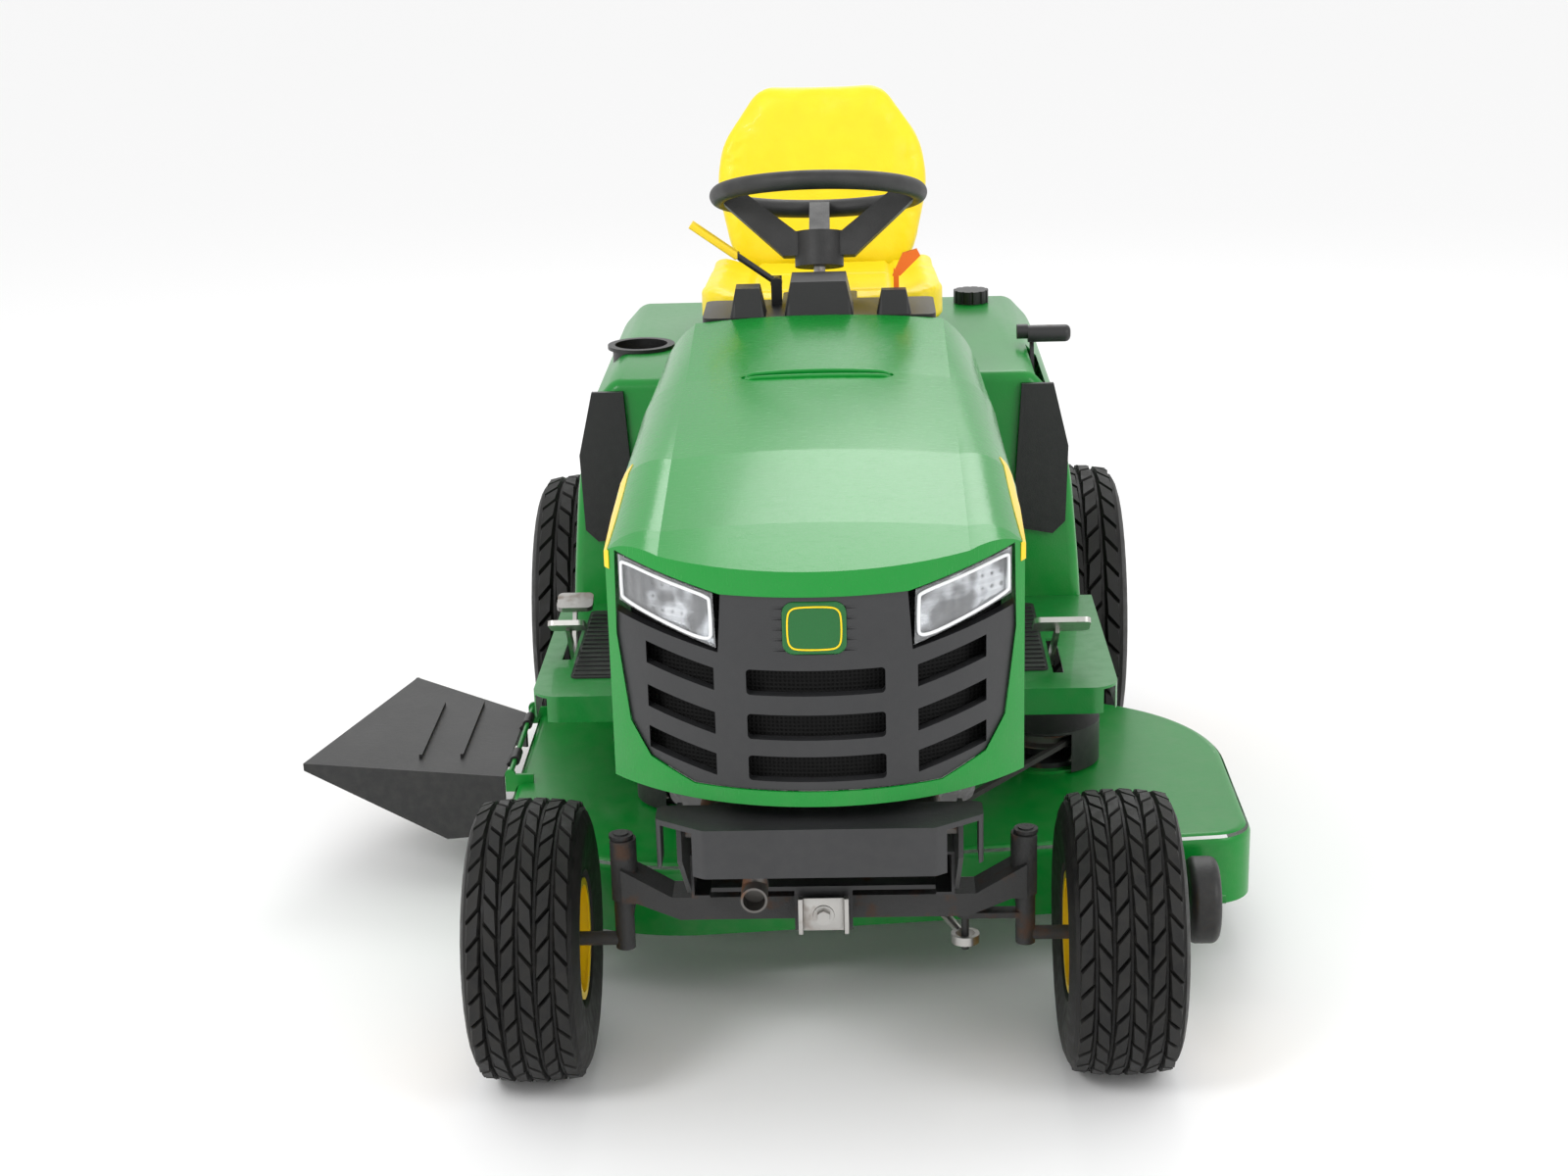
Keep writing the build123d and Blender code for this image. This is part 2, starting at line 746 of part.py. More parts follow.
# Drag link, in plan equal and parallel to the line between the two pivots. Its rear pin turns in
# the sector's arm, and its front eye hangs round the knuckle's pin with room for the axle's rocking.
link_rear = Vector(-steer_arm, sector_pivot_y, sector_z + sector_t + 3 + link_r)
link_front = Vector(kingpin_x - steer_arm, front_y, arm_z - link_fall)
link_run = link_front - link_rear
with BuildPart() as drag_link:
    with BuildSketch(Plane(origin=link_rear, z_dir=link_run)):
        Circle(link_r)
    extrude(amount=link_run.length)
    with BuildSketch(at_z(link_rear.Z - link_r)):
        with Locations((link_rear.X, link_rear.Y)):
            Circle(10)
    extrude(amount=2 * link_r)
    with BuildSketch(at_z(link_rear.Z)):
        with Locations((link_rear.X, link_rear.Y)):
            Circle(pin_r)
    extrude(amount=-(link_r + 3 + sector_t + 4))
    with BuildSketch(at_z(link_front.Z - link_r)):
        with Locations((link_front.X, link_front.Y)):
            Circle(drag_eye_r + 6)
    extrude(amount=2 * link_r)
    with BuildSketch(at_z(link_front.Z - 3 * link_r)):
        with Locations((link_front.X, link_front.Y)):
            Circle(drag_eye_r)
    extrude(amount=6 * link_r, mode=Mode.SUBTRACT)
keep("drag_link", drag_link)

# Fixed steering parts: the column tube with its flange, the foot bearing and the sector's bearing.
foot_depth = 44.0
foot_bearing_y = wheel_y - (wheel_z - rail_top) * tan(tilt)
column_low = -(wheel_z - 760.0) / cos(tilt)
with BuildPart() as steering_column:
    with BuildSketch(wheel_plane.offset(hub_low - 26)):
        Circle(16)
        Circle(shaft_r + seat_gap, mode=Mode.SUBTRACT)
    extrude(amount=column_low - hub_low + 26)
    with BuildSketch(at_z(rail_top)):
        with Locations((0, foot_bearing_y)):
            Rectangle(2 * rail_x, foot_depth)
    extrude(amount=5)
    with BuildSketch(wheel_plane.offset(-(wheel_z - rail_top) / cos(tilt) + 22)):
        Circle(19)
    extrude(amount=-26)
    with BuildSketch(at_z(rail_top)):
        with Locations((0, foot_bearing_y)):
            Rectangle(80, foot_depth + 10)
    extrude(amount=-60, mode=Mode.SUBTRACT)
    with BuildSketch(wheel_plane.offset(hub_low - 30)):
        Circle(shaft_r + seat_gap)
    extrude(amount=pinion_mid, mode=Mode.SUBTRACT)
    with BuildSketch(at_z(sector_mount_z)):
        with Locations((0, sector_pivot_y)):
            Rectangle(2 * (rail_outer_x - rail_t), 60)
    extrude(amount=6)
    with BuildSketch(at_z(sector_z + sector_t + 1)):
        with Locations((0, sector_pivot_y)):
            Circle(14)
    extrude(amount=sector_mount_z - sector_z - sector_t)
    with BuildSketch(at_z(sector_z)):
        with Locations((0, sector_pivot_y)):
            Circle(sector_pin_r + running)
    extrude(amount=90, mode=Mode.SUBTRACT)
keep("steering_column", steering_column)

# ---------------------------------------------------------------- hood
# One moulded shell: a crowned top between two creases, rounded flanks, and a bowed nose.
nose_r = 328.0
hood_sections = (
    (hood_rear_y, hood_rear_top, 886, 740, 240),
    (front_y + 413, 866, 855, 770, 252),
    (front_y + 93, 834, 824, 780, hood_side_x),
    (front_y - 137, 800, 792, 768, 255),
    (hood_front_y - 5, 772, 766, 750, 250),
)


def hood_block(shrink):
    """The solid inside the hood's skin, smaller all round by the given wall."""
    with BuildPart() as block:
        for y, top, crease, flank, side_x in hood_sections:
            x = side_x - shrink
            edge_x = hood_crease_x - shrink
            with BuildSketch(at_y(y)):
                with BuildLine():
                    Line((-x, hood_low_z), (-x, flank))
                    ThreePointArc((-x, flank), (-x + 0.3 * (x - edge_x), flank + 0.72 * (crease - flank)),
                                  (-edge_x, crease - shrink))
                    ThreePointArc((-edge_x, crease - shrink), (0, top - shrink),
                                  (edge_x, crease - shrink))
                    ThreePointArc((edge_x, crease - shrink),
                                  (x - 0.3 * (x - edge_x), flank + 0.72 * (crease - flank)), (x, flank))
                    Line((x, flank), (x, hood_low_z))
                    Line((x, hood_low_z), (-x, hood_low_z))
                make_face()
        loft(ruled=True)
        with BuildSketch(at_z(hood_low_z)):
            with Locations((0, hood_front_y + nose_r)):
                Circle(nose_r - shrink)
            with Locations((0, (hood_front_y + nose_r + hood_rear_y) / 2)):
                Rectangle(4 * hood_side_x, hood_rear_y - hood_front_y - nose_r + 0.02)
        extrude(amount=600, mode=Mode.INTERSECT)
    return block.part


# The opening in the nose that the lamps and the grille fill.
nose_opening = (
    (-112, 742), (-242, 774), (-244, 668), (-230, 560), (-205, 520), (-150, 497),
    (150, 497), (205, 520), (230, 560), (244, 668), (242, 774), (112, 742),
)
opening_y = front_y - 110
hood_outer = hood_block(0)
hood_inner = hood_block(hood_t)
with BuildPart() as hood_shell:
    add(hood_outer)
    add(hood_inner, mode=Mode.SUBTRACT)
    with BuildSketch(at_y(hood_front_y - 10)):
        with BuildLine():
            Polyline(*nose_opening, close=True)
        make_face()
    extrude(amount=-(opening_y - hood_front_y + 10), mode=Mode.SUBTRACT)
    # Cooling slot across the top.
    with BuildSketch(at_z(hood_low_z + 200)):
        with Locations((0, front_y + 405)):
            SlotOverall(214, 14)
    extrude(amount=300, mode=Mode.SUBTRACT)
    # Lugs inside the chin, with the pin that the hood tips forward on.
    for side in (-1, 1):
        with BuildSketch(at_x(side * (hinge_ear_x + 7))):
            with Locations((hood_hinge_y - 3, hood_hinge_z)):
                Rectangle(18, 14)
        extrude(amount=side * 6)
    with BuildSketch(at_x(-hinge_ear_x - 12)):
        with Locations((hood_hinge_y, hood_hinge_z)):
            Circle(hinge_pin_r)
    extrude(amount=2 * (hinge_ear_x + 12))
keep("hood_shell", hood_shell)

# ---------------------------------------------------------------- grille, lamps and badge
lamp_low_in = (118, 674)
lamp_low_out = (238, 712)
lamp_top_out = (238, 770)
lamp_top_in = (120, 741)
grille_depth = 16.0
bow_centre_y = hood_front_y + nose_r


def bowed(outer_r, inner_r, low, high):
    """A wall bowed in plan like the nose, between two radii and two heights."""
    with BuildPart() as wall:
        with BuildSketch(at_z(low)):
            with Locations((0, bow_centre_y)):
                Circle(outer_r)
                Circle(inner_r, mode=Mode.SUBTRACT)
            with Locations((0, bow_centre_y - outer_r)):
                Rectangle(4 * outer_r, 2 * (bow_centre_y - opening_y + 120), mode=Mode.INTERSECT)
        extrude(amount=high - low)
    return wall.part


grille_outline = (
    (-111, 741), (-116, 668), (-242, 696), (-243, 668), (-229, 560), (-204, 521), (-149, 498),
    (149, 498), (204, 521), (229, 560), (243, 668), (242, 696), (116, 668), (111, 741),
)
grille_wall = bowed(nose_r - 3, nose_r - 3 - grille_depth, 490, 745)
with BuildPart() as grille:
    with BuildSketch(at_y(hood_front_y - 10)):
        with BuildLine():
            Polyline(*grille_outline, close=True)
        make_face()
    extrude(amount=-(opening_y - hood_front_y + 10))
    add(grille_wall, mode=Mode.INTERSECT)
    # Three air slots in the middle and three slanting ones at each side.
    for slot_z in (634, 578, 525):
        with BuildSketch(at_y(hood_front_y - 10)):
            with Locations((0, slot_z)):
                RectangleRounded(166, 32, 5)
            for side in (-1, 1):
                with BuildLine():
                    Polyline(
                        (side * 122, slot_z - 14),
                        (side * 206, slot_z + 6),
                        (side * 206, slot_z + 34),
                        (side * 122, slot_z + 14),
                        close=True,
                    )
                make_face()
        extrude(amount=-120, mode=Mode.SUBTRACT)
    # Shallow ribs of the upper panel.
    for rib in range(5):
        with BuildSketch(at_y(hood_front_y - 10)):
            with Locations((0, 676 + rib * 13)):
                Rectangle(206, 4)
        extrude(amount=-17, mode=Mode.SUBTRACT)
    # Recess that the badge sits in.
    with BuildSketch(at_y(hood_front_y - 10)):
        with Locations((0, 703)):
            RectangleRounded(77, 66, 15)
    extrude(amount=-22, mode=Mode.SUBTRACT)
keep("grille", grille)

with BuildPart() as badge_plate:
    with BuildSketch(at_y(hood_front_y + 2)):
        with Locations((0, 703)):
            RectangleRounded(76, 65, 14)
    extrude(amount=-10 + seat_gap)
    chamfer(badge_plate.faces().sort_by(Axis.Y)[0].edges(), 1.5)
keep("badge_plate", badge_plate)

lamp_outer = bowed(nose_r - 2, nose_r - 6, 660, 776)
lamp_inner = bowed(nose_r - 6 - seat_gap, nose_r - 40, 660, 776)


def lamps(wall, shrink):
    """Both lamps' outlines cut from a bowed wall."""
    with BuildPart() as pair:
        with BuildSketch(at_y(hood_front_y - 10)):
            for side in (-1, 1):
                with BuildLine():
                    Polyline(
                        (side * (lamp_low_in[0] + shrink), lamp_low_in[1] + shrink),
                        (side * (lamp_low_out[0] - shrink), lamp_low_out[1] + shrink),
                        (side * (lamp_top_out[0] - shrink), lamp_top_out[1] - shrink),
                        (side * (lamp_top_in[0] + shrink), lamp_top_in[1] - shrink),
                        close=True,
                    )
                make_face()
        extrude(amount=-(opening_y - hood_front_y + 60))
        add(wall, mode=Mode.INTERSECT)
    return pair


keep("headlight_lenses", lamps(lamp_outer, 0))
keep("headlight_housings", lamps(lamp_inner, 2))

# ---------------------------------------------------------------- bumper
bumper_rear_y = front_y - 190
with BuildPart() as front_bumper:
    with BuildSketch(at_z(bumper_low)):
        with BuildLine():
            Polyline(
                (-bumper_half, bumper_rear_y),
                (-bumper_half, bumper_front_y + 42),
                (-bumper_half + 60, bumper_front_y),
                (bumper_half - 60, bumper_front_y),
                (bumper_half, bumper_front_y + 42),
                (bumper_half, bumper_rear_y),
                close=True,
            )
        make_face()
    extrude(amount=bumper_top - bumper_low - 14)
    fillet(front_bumper.edges().filter_by(Axis.Z), 10)
    with BuildSketch(at_z(bumper_low - 1)):
        with Locations((0, (bumper_rear_y + bumper_front_y) / 2 + 30)):
            Rectangle(2 * bumper_half - 12, bumper_rear_y - bumper_front_y + 40)
    extrude(amount=bumper_top - bumper_low - 20, mode=Mode.SUBTRACT)
    # Arms back to the outside of the rails, and the ears of the hood's hinge.
    for side in (-1, 1):
        with BuildSketch(at_x(side * rail_outer_x)):
            with BuildLine():
                Polyline(
                    (bumper_rear_y - 30, bumper_top - 14),
                    (bumper_rear_y - 30, bumper_low),
                    (rail_front_y + 10, rail_z + 4),
                    (rail_front_y + 90, rail_z + 4),
                    (rail_front_y + 90, rail_top - 4),
                    (bumper_rear_y + 10, bumper_top - 14),
                    close=True,
                )
            make_face()
        extrude(amount=side * 6)
        with BuildSketch(at_x(side * hinge_ear_x)):
            with BuildLine():
                Polyline(
                    (hood_hinge_y, hood_hinge_z + 8),
                    (hood_hinge_y, hood_hinge_z - 8),
                    (bumper_rear_y - 14, bumper_top - 14),
                    (bumper_rear_y, bumper_top - 14),
                    (bumper_rear_y, bumper_top),
                    close=True,
                )
            make_face()
            with Locations((hood_hinge_y, hood_hinge_z)):
                Circle(8)
                Circle(hinge_pin_r + running, mode=Mode.SUBTRACT)
        extrude(amount=side * 6)
keep("front_bumper", front_bumper)

# ---------------------------------------------------------------- dash
dash_half = 176.0
dash_depth = 146.0
dash_low = 640.0
dash_top = 892.0
dash_wall = 4.0
pod_half = 58.0
pod_low = 772.0
pod_out = 52.0
dash_front_y = hood_rear_y + 4
dash_y = dash_front_y + dash_depth / 2
lever_pivot = (-66.0, -440.0, 924.0)
throttle_pivot = (118.0, -470.0, 872.0)
leg_x = rail_x + 2
with BuildPart() as dash_panel:
    with BuildSketch(at_z(dash_low)):
        with Locations((0, dash_y)):
            RectangleRounded(2 * dash_half, dash_depth, 14)
    extrude(amount=dash_top - dash_low)
    with BuildSketch(at_z(dash_low)):
        with Locations((0, dash_y)):
            RectangleRounded(2 * (dash_half - dash_wall), dash_depth - 2 * dash_wall, 10)
    extrude(amount=dash_top - dash_low - dash_wall, mode=Mode.SUBTRACT)
    # Raised shrouds along the top.
    for x, width, depth, height in ((0, 104, 108, 50), (-107, 54, 60, 42), (113, 52, 34, 36)):
        with BuildSketch(at_z(dash_top)):
            with Locations((x, dash_front_y + depth / 2 + 2)):
                RectangleRounded(width, depth, 8)
        extrude(amount=height, taper=12)
    # Boss that holds the column's upper end.
    with BuildSketch(at_z(pod_low)):
        with Locations((0, dash_y + (dash_depth + pod_out) / 2)):
            RectangleRounded(2 * pod_half, pod_out + 20, 8)
    extrude(amount=dash_top - pod_low)
    # Legs to the rails.
    for side in (-1, 1):
        with BuildSketch(at_x(side * leg_x)):
            with Locations((dash_front_y + 40, (rail_top + dash_low + 10) / 2)):
                Rectangle(72, dash_low + 10 - rail_top)
        extrude(amount=side * 6)
        with BuildSketch(at_z(dash_low)):
            with Locations((side * (dash_half + leg_x) / 2, dash_front_y + 40)):
                Rectangle(dash_half - leg_x, 72)
        extrude(amount=4)
    # Way through for the steering column.
    with BuildSketch(wheel_plane.offset(-60)):
        Circle(16 + seat_gap)
    extrude(amount=-520, mode=Mode.SUBTRACT)
    # Ears and pin for the blade lever.
    for ear_y in (lever_pivot[1] - 16, lever_pivot[1] + 10):
        with BuildSketch(at_y(ear_y)):
            with Locations((lever_pivot[0], (dash_top + lever_pivot[2] + 8) / 2)):
                Rectangle(16, lever_pivot[2] + 8 - dash_top)
        extrude(amount=-6)
    with BuildSketch(at_y(lever_pivot[1] - 16)):
        with Locations((lever_pivot[0], lever_pivot[2])):
            Circle(4)
    extrude(amount=-32)
    # Slot, ears and pin for the throttle.
    with BuildSketch(at_z(dash_top - 10)):
        with Locations((throttle_pivot[0], throttle_pivot[1])):
            Rectangle(14, 70)
    extrude(amount=20, mode=Mode.SUBTRACT)
    for ear_x in (throttle_pivot[0] - 14, throttle_pivot[0] + 10):
        with BuildSketch(at_x(ear_x)):
            with Locations((throttle_pivot[1], (throttle_pivot[2] - 8 + dash_top) / 2)):
                Rectangle(16, dash_top - throttle_pivot[2] + 8)
        extrude(amount=4)
    with BuildSketch(at_x(throttle_pivot[0] - 14)):
        with Locations((throttle_pivot[1], throttle_pivot[2])):
            Circle(3)
    extrude(amount=28)
keep("dash_panel", dash_panel)

# Blade lever: a black rod with a flat handle, out to the driver's right.
lever_tip = Vector(-195, lever_pivot[1], 1016)
lever_root = Vector(*lever_pivot)
lever_run = lever_tip - lever_root
with BuildPart() as blade_lever:
    with BuildSketch(at_y(lever_pivot[1] - 9.7)):
        with Locations((lever_pivot[0], lever_pivot[2])):
            Circle(9)
            Circle(4 + running, mode=Mode.SUBTRACT)
    extrude(amount=-19.4)
    with BuildSketch(Plane(origin=lever_root + lever_run.normalized() * 7, z_dir=lever_run)):
        Circle(5)
    extrude(amount=72)
    with BuildSketch(Plane(origin=lever_root + lever_run.normalized() * 72, x_dir=(0, 1, 0),
                           z_dir=lever_run)):
        RectangleRounded(26, 11, 4)
    extrude(amount=lever_run.length - 72)
keep("blade_lever", blade_lever)

with BuildPart() as throttle_lever:
    with BuildSketch(at_x(throttle_pivot[0] - 9.5)):
        with Locations((throttle_pivot[1], throttle_pivot[2])):
            Circle(8)
            Circle(3 + running, mode=Mode.SUBTRACT)
    extrude(amount=19)
    with BuildSketch(at_x(throttle_pivot[0] - 4)):
        with Locations((throttle_pivot[1], throttle_pivot[2] + 40)):
            Rectangle(12, 68)
    extrude(amount=8)
    with BuildSketch(at_y(throttle_pivot[1] - 5)):
        with BuildLine():
            Polyline((112, 936), (124, 936), (155, 966), (150, 976), (128, 970), close=True)
        make_face()
    extrude(amount=-10)
keep("throttle_lever", throttle_lever)

# ---------------------------------------------------------------- fender pan
# One pressed shell over both rear wheels, open below, with an arch cut for each tyre.
lever_x = 345.0
slot_front_y = fender_front_y + 14
slot_rear_y = -158.0
cup_x = -304.0
cup_y = -150.0
cup_r = 44.0
cap_x = 262.0
cap_y = 190.0
neck_r = 24.0
fender_side = (
    (412, 380), (407, 456), (395, 590), (fender_half, 725), (330, fender_top),
)


def fender_block(shrink, front, rear, low):
    """The solid inside the fender's skin."""
    with BuildPart() as block:
        with BuildSketch(at_y(front)):
            with BuildLine():
                right = [(x - shrink, z - (shrink if z == fender_top else 0)) for x, z in fender_side]
                right[0] = (right[0][0], low)
                left = [(-x, z) for x, z in reversed(right)]
                Polyline(*right, *left, close=True)
            make_face()
        extrude(amount=-(rear - front))
    return block.part


fender_outer = fender_block(0, fender_front_y, fender_rear_y, 380)
fender_inner = fender_block(fender_t, fender_front_y + fender_t, fender_rear_y - fender_t, 370)
with BuildPart() as fender_pan:
    add(fender_outer)
    add(fender_inner, mode=Mode.SUBTRACT)
    with BuildSketch(at_x(-500)):
        with Locations((0, rear_tyre_r)):
            Circle(arch_r)
    extrude(amount=1000, mode=Mode.SUBTRACT)
    # Ways out for the frame at both ends.
    for wall_y in (fender_front_y, fender_rear_y):
        with BuildSketch(at_y(wall_y - 20)):
            with Locations((0, 480)):
                Rectangle(2 * rail_inner_x, 240)
        extrude(amount=-40, mode=Mode.SUBTRACT)
    # Tabs that stand on the rails.
    for side in (-1, 1):
        for tab_y in (fender_front_y, rail_tail - fender_t):
            with BuildSketch(at_y(tab_y)):
                with Locations((side * rail_x, rail_top)):
                    Rectangle(rail_width, 80, align=(Align.CENTER, Align.MIN))
            extrude(amount=-fender_t)
        with BuildSketch(at_y(rail_tail - fender_t)):
            with Locations((side * rail_x, rail_top)):
                Rectangle(rail_width, fender_top - rail_top - 2, align=(Align.CENTER, Align.MIN))
        extrude(amount=-fender_t)
    # Lift lever slot, cup holder hole and fuel neck hole.
    with BuildSketch(at_z(fender_top - 80)):
        with Locations((lever_x, (slot_front_y + slot_rear_y) / 2)):
            Rectangle(18, slot_rear_y - slot_front_y)
        with Locations((cup_x, cup_y)):
            Circle(cup_r + 4 + seat_gap)
        with Locations((cap_x, cap_y)):
            Circle(neck_r + seat_gap)
    extrude(amount=100, mode=Mode.SUBTRACT)
keep("fender_pan", fender_pan)

# Fuel tank under the pan at the left rear, its neck through the pan.
tank_x = 250.0
with BuildPart() as fuel_tank:
    with BuildSketch(at_z(600)):
        with Locations((tank_x, 150)):
            RectangleRounded(150, 190, 20)
    extrude(amount=fender_top - fender_t - seat_gap - 600)
    with BuildSketch(at_z(700)):
        with Locations((cap_x, cap_y)):
            Circle(neck_r)
    extrude(amount=fender_top + 14 - 700)
    with BuildSketch(at_z(660)):
        with Locations((cap_x, cap_y)):
            Circle(neck_r - 4)
    extrude(amount=200, mode=Mode.SUBTRACT)
keep("fuel_tank", fuel_tank)

with BuildPart() as fuel_cap:
    with BuildSketch(at_z(fender_top + 1)):
        with Locations((cap_x, cap_y)):
            Circle(31)
            with PolarLocations(31, 12):
                Circle(3, mode=Mode.SUBTRACT)
    extrude(amount=22)
    with BuildSketch(at_z(fender_top)):
        with Locations((cap_x, cap_y)):
            Circle(neck_r + running * 2)
    extrude(amount=14 + seat_gap, mode=Mode.SUBTRACT)
keep("fuel_cap", fuel_cap)

# Black trim beside the seat: the lever side is plain, the other side carries the cup holder.
trim_in = 300.0
trim_out = 388.0
trim_low = 507.0
trim_t = 10.0


def trim_block(side):
    """Facing panel on the pan's front wall."""
    with BuildPart() as panel:
        with BuildSketch(at_y(fender_front_y - seat_gap - trim_t)):
            with BuildLine():
                Polyline(
                    (side * (trim_in + 14), fender_top - 17),
                    (side * (trim_out - 24), fender_top - 17),
                    (side * trim_out, 650),
                    (side * (trim_out - 4), trim_low + 20),
                    (side * (trim_out - 24), trim_low),
                    (side * trim_in, trim_low + 12),
                    close=True,
                )
            make_face()
        extrude(amount=-trim_t)
    return panel


trim_panels = trim_block(1)
with BuildPart() as cup:
    with BuildSketch(at_z(fender_top - 70)):
        with Locations((cup_x, cup_y)):
            Circle(cup_r + 4)
    extrude(amount=76)
    with BuildSketch(at_z(fender_top + seat_gap)):
        with Locations((cup_x, cup_y)):
            Circle(cup_r + 12)
    extrude(amount=6)
    with BuildSketch(at_z(fender_top - 66)):
        with Locations((cup_x, cup_y)):
            Circle(cup_r)
    extrude(amount=90, mode=Mode.SUBTRACT)
trim_panels.part = Compound([trim_panels.part, trim_block(-1).part, cup.part])
keep("trim_panels", trim_panels)

# ---------------------------------------------------------------- footrests
footrest_t = 4.0
bracket_x = rail_x + 2
bracket_front = footrest_front_y + 70
bracket_rear = -600.0
brake_y = -640.0
brake_z = 372.0
brake_arm_x = 345.0
drive_y = -600.0
drive_arm_x = 392.0
pedal_shaft_r = 7.0
pedal_slot_w = 16.0


def footrest(side, slot_x, slot_front, slot_rear, shaft_y):
    """Pressed tread plate with turned-down edges, a bracket on the rail and a ribbed mat."""
    inner = leg_x + 8
    middle = side * (inner + footrest_out) / 2
    length = footrest_rear_y - seat_gap - footrest_front_y
    with BuildPart() as tread:
        with BuildSketch(at_z(footrest_z - 40)):
            with Locations((middle, footrest_front_y + length / 2)):
                Rectangle(footrest_out - inner, length)
        extrude(amount=40)
        fillet(tread.edges().filter_by(Axis.Z).group_by(Axis.Y)[0], 40)
        with BuildSketch(at_z(footrest_z - 41)):
            with Locations((middle - side * footrest_t, footrest_front_y + length / 2 + footrest_t)):
                Rectangle(footrest_out - inner, length)
        extrude(amount=41 - footrest_t, mode=Mode.SUBTRACT)
        # The hood's leg and the pedal's arm pass through the plate.
        with BuildSketch(at_z(footrest_z - 50)):
            with Locations((side * slot_x, (slot_front + slot_rear) / 2)):
                Rectangle(pedal_slot_w, slot_rear - slot_front)
        extrude(amount=60, mode=Mode.SUBTRACT)
        with BuildSketch(at_x(side * bracket_x)):
            with Locations(((bracket_front + bracket_rear) / 2, (rail_top + footrest_z) / 2)):
                Rectangle(bracket_rear - bracket_front, footrest_z - rail_top)
            with Locations((shaft_y, brake_z)):
                Circle(pedal_shaft_r + running, mode=Mode.SUBTRACT)
        extrude(amount=side * 6)
        with BuildSketch(at_z(footrest_z - footrest_t)):
            with Locations((side * (bracket_x + 10), (bracket_front + bracket_rear) / 2)):
                Rectangle(20, bracket_rear - bracket_front)
        extrude(amount=footrest_t)
        with BuildSketch(at_x(side * (slot_x - 20))):
            with Locations((shaft_y, (brake_z - 12 + footrest_z) / 2)):
                Rectangle(26, footrest_z - brake_z + 12)
            with Locations((shaft_y, brake_z)):
                Circle(pedal_shaft_r + running, mode=Mode.SUBTRACT)
        extrude(amount=side * 4)
    mat_in = footrest_in + 52
    mat_out = slot_x - 14
    with BuildPart() as mat:
        with BuildSketch(at_z(footrest_z + 0.05)):
            with Locations((side * (mat_in + mat_out) / 2, (footrest_front_y - 60 + footrest_rear_y) / 2 + 45)):
                RectangleRounded(mat_out - mat_in, 330, 10)
        extrude(amount=3)
    tread.part = Compound([tread.part, mat.part])
    return tread


keep("footrest_left", footrest(1, brake_arm_x, brake_y - 150, brake_y + 12, brake_y))
keep("footrest_right", footrest(-1, drive_arm_x, drive_y - 90, drive_y + 90, drive_y))


def pedal_shaft(shaft_y, end_x):
    """The pivot shaft of a pedal, from inside its bracket out to the arm."""
    start_x = end_x / abs(end_x) * (bracket_x - 8)
    with BuildPart() as shaft:
        with BuildSketch(at_x(start_x)):
            with Locations((shaft_y, brake_z)):
                Circle(pedal_shaft_r)
        extrude(amount=end_x - start_x)
    return shaft.part


pad_t = 8.0
brake_shaft = pedal_shaft(brake_y, brake_arm_x + 3)
with BuildPart() as brake_pedal:
    add(brake_shaft)
    with BuildSketch(at_x(brake_arm_x - 3)):
        with BuildLine():
            Polyline(
                (brake_y + 10, brake_z - 4),
                (brake_y - 8, brake_z - 9),
                (brake_y - 128, brake_z + 82),
                (brake_y - 118, brake_z + 92),
                (brake_y, brake_z + 14),
                close=True,
            )
        make_face()
    extrude(amount=6)
    with BuildSketch(Plane(origin=(brake_arm_x + 6, brake_y - 122, brake_z + 90), x_dir=(1, 0, 0),
                           z_dir=(0, 0.55, 0.84))):
        RectangleRounded(84, 50, 10)
    extrude(amount=pad_t)
keep("brake_pedal", brake_pedal)

# Forward and reverse pads share one rocker.
drive_shaft = pedal_shaft(drive_y, -drive_arm_x - 3)
with BuildPart() as drive_pedals:
    add(drive_shaft)
    with BuildSketch(at_x(-drive_arm_x - 3)):
        with BuildLine():
            Polyline(
                (drive_y - 8, brake_z - 8),
                (drive_y - 66, brake_z + 66),
                (drive_y - 54, brake_z + 72),
                (drive_y, brake_z + 14),
                (drive_y + 50, brake_z + 76),
                (drive_y + 66, brake_z + 72),
                (drive_y + 8, brake_z - 8),
                close=True,
            )
        make_face()
    extrude(amount=6)
    for reach, pad_len, lean in ((-64, 56, 0.5), (58, 40, -0.35)):
        with BuildSketch(Plane(origin=(-drive_arm_x, drive_y + reach, brake_z + 70), x_dir=(1, 0, 0),
                               z_dir=(0, lean, 1))):
            RectangleRounded(56, pad_len, 9)
        extrude(amount=pad_t)
keep("drive_pedals", drive_pedals)

# ---------------------------------------------------------------- seat
seat_rail_x = 110.0
seat_rail_h = 14.0
seat_hinge_y = -212.0
seat_hinge_z = fender_top + 32.0
pan_z = fender_top + seat_rail_h + 12
with BuildPart() as seat_slider:
    for side in (-1, 1):
        with BuildSketch(at_z(fender_top + seat_gap)):
            with Locations((side * seat_rail_x, -20)):
                Rectangle(34, 330)
        extrude(amount=seat_rail_h)
    with BuildSketch(at_z(fender_top + seat_gap + seat_rail_h - 4)):
        with Locations((0, -20)):
            Rectangle(2 * seat_rail_x + 34, 300)
    extrude(amount=4)
    # Hinge ears at the front.
    for side in (-1, 1):
        with BuildSketch(at_x(side * 132)):
            with Locations((seat_hinge_y + 20, fender_top + 20)):
                Rectangle(56, 36)
            with Locations((seat_hinge_y, seat_hinge_z)):
                Circle(5 + running, mode=Mode.SUBTRACT)
        extrude(amount=side * 5)
        with BuildSketch(at_z(fender_top + seat_gap + seat_rail_h - 4)):
            with Locations((side * 130, seat_hinge_y + 34)):
                Rectangle(14, 28)
        extrude(amount=4)
keep("seat_slider", seat_slider)

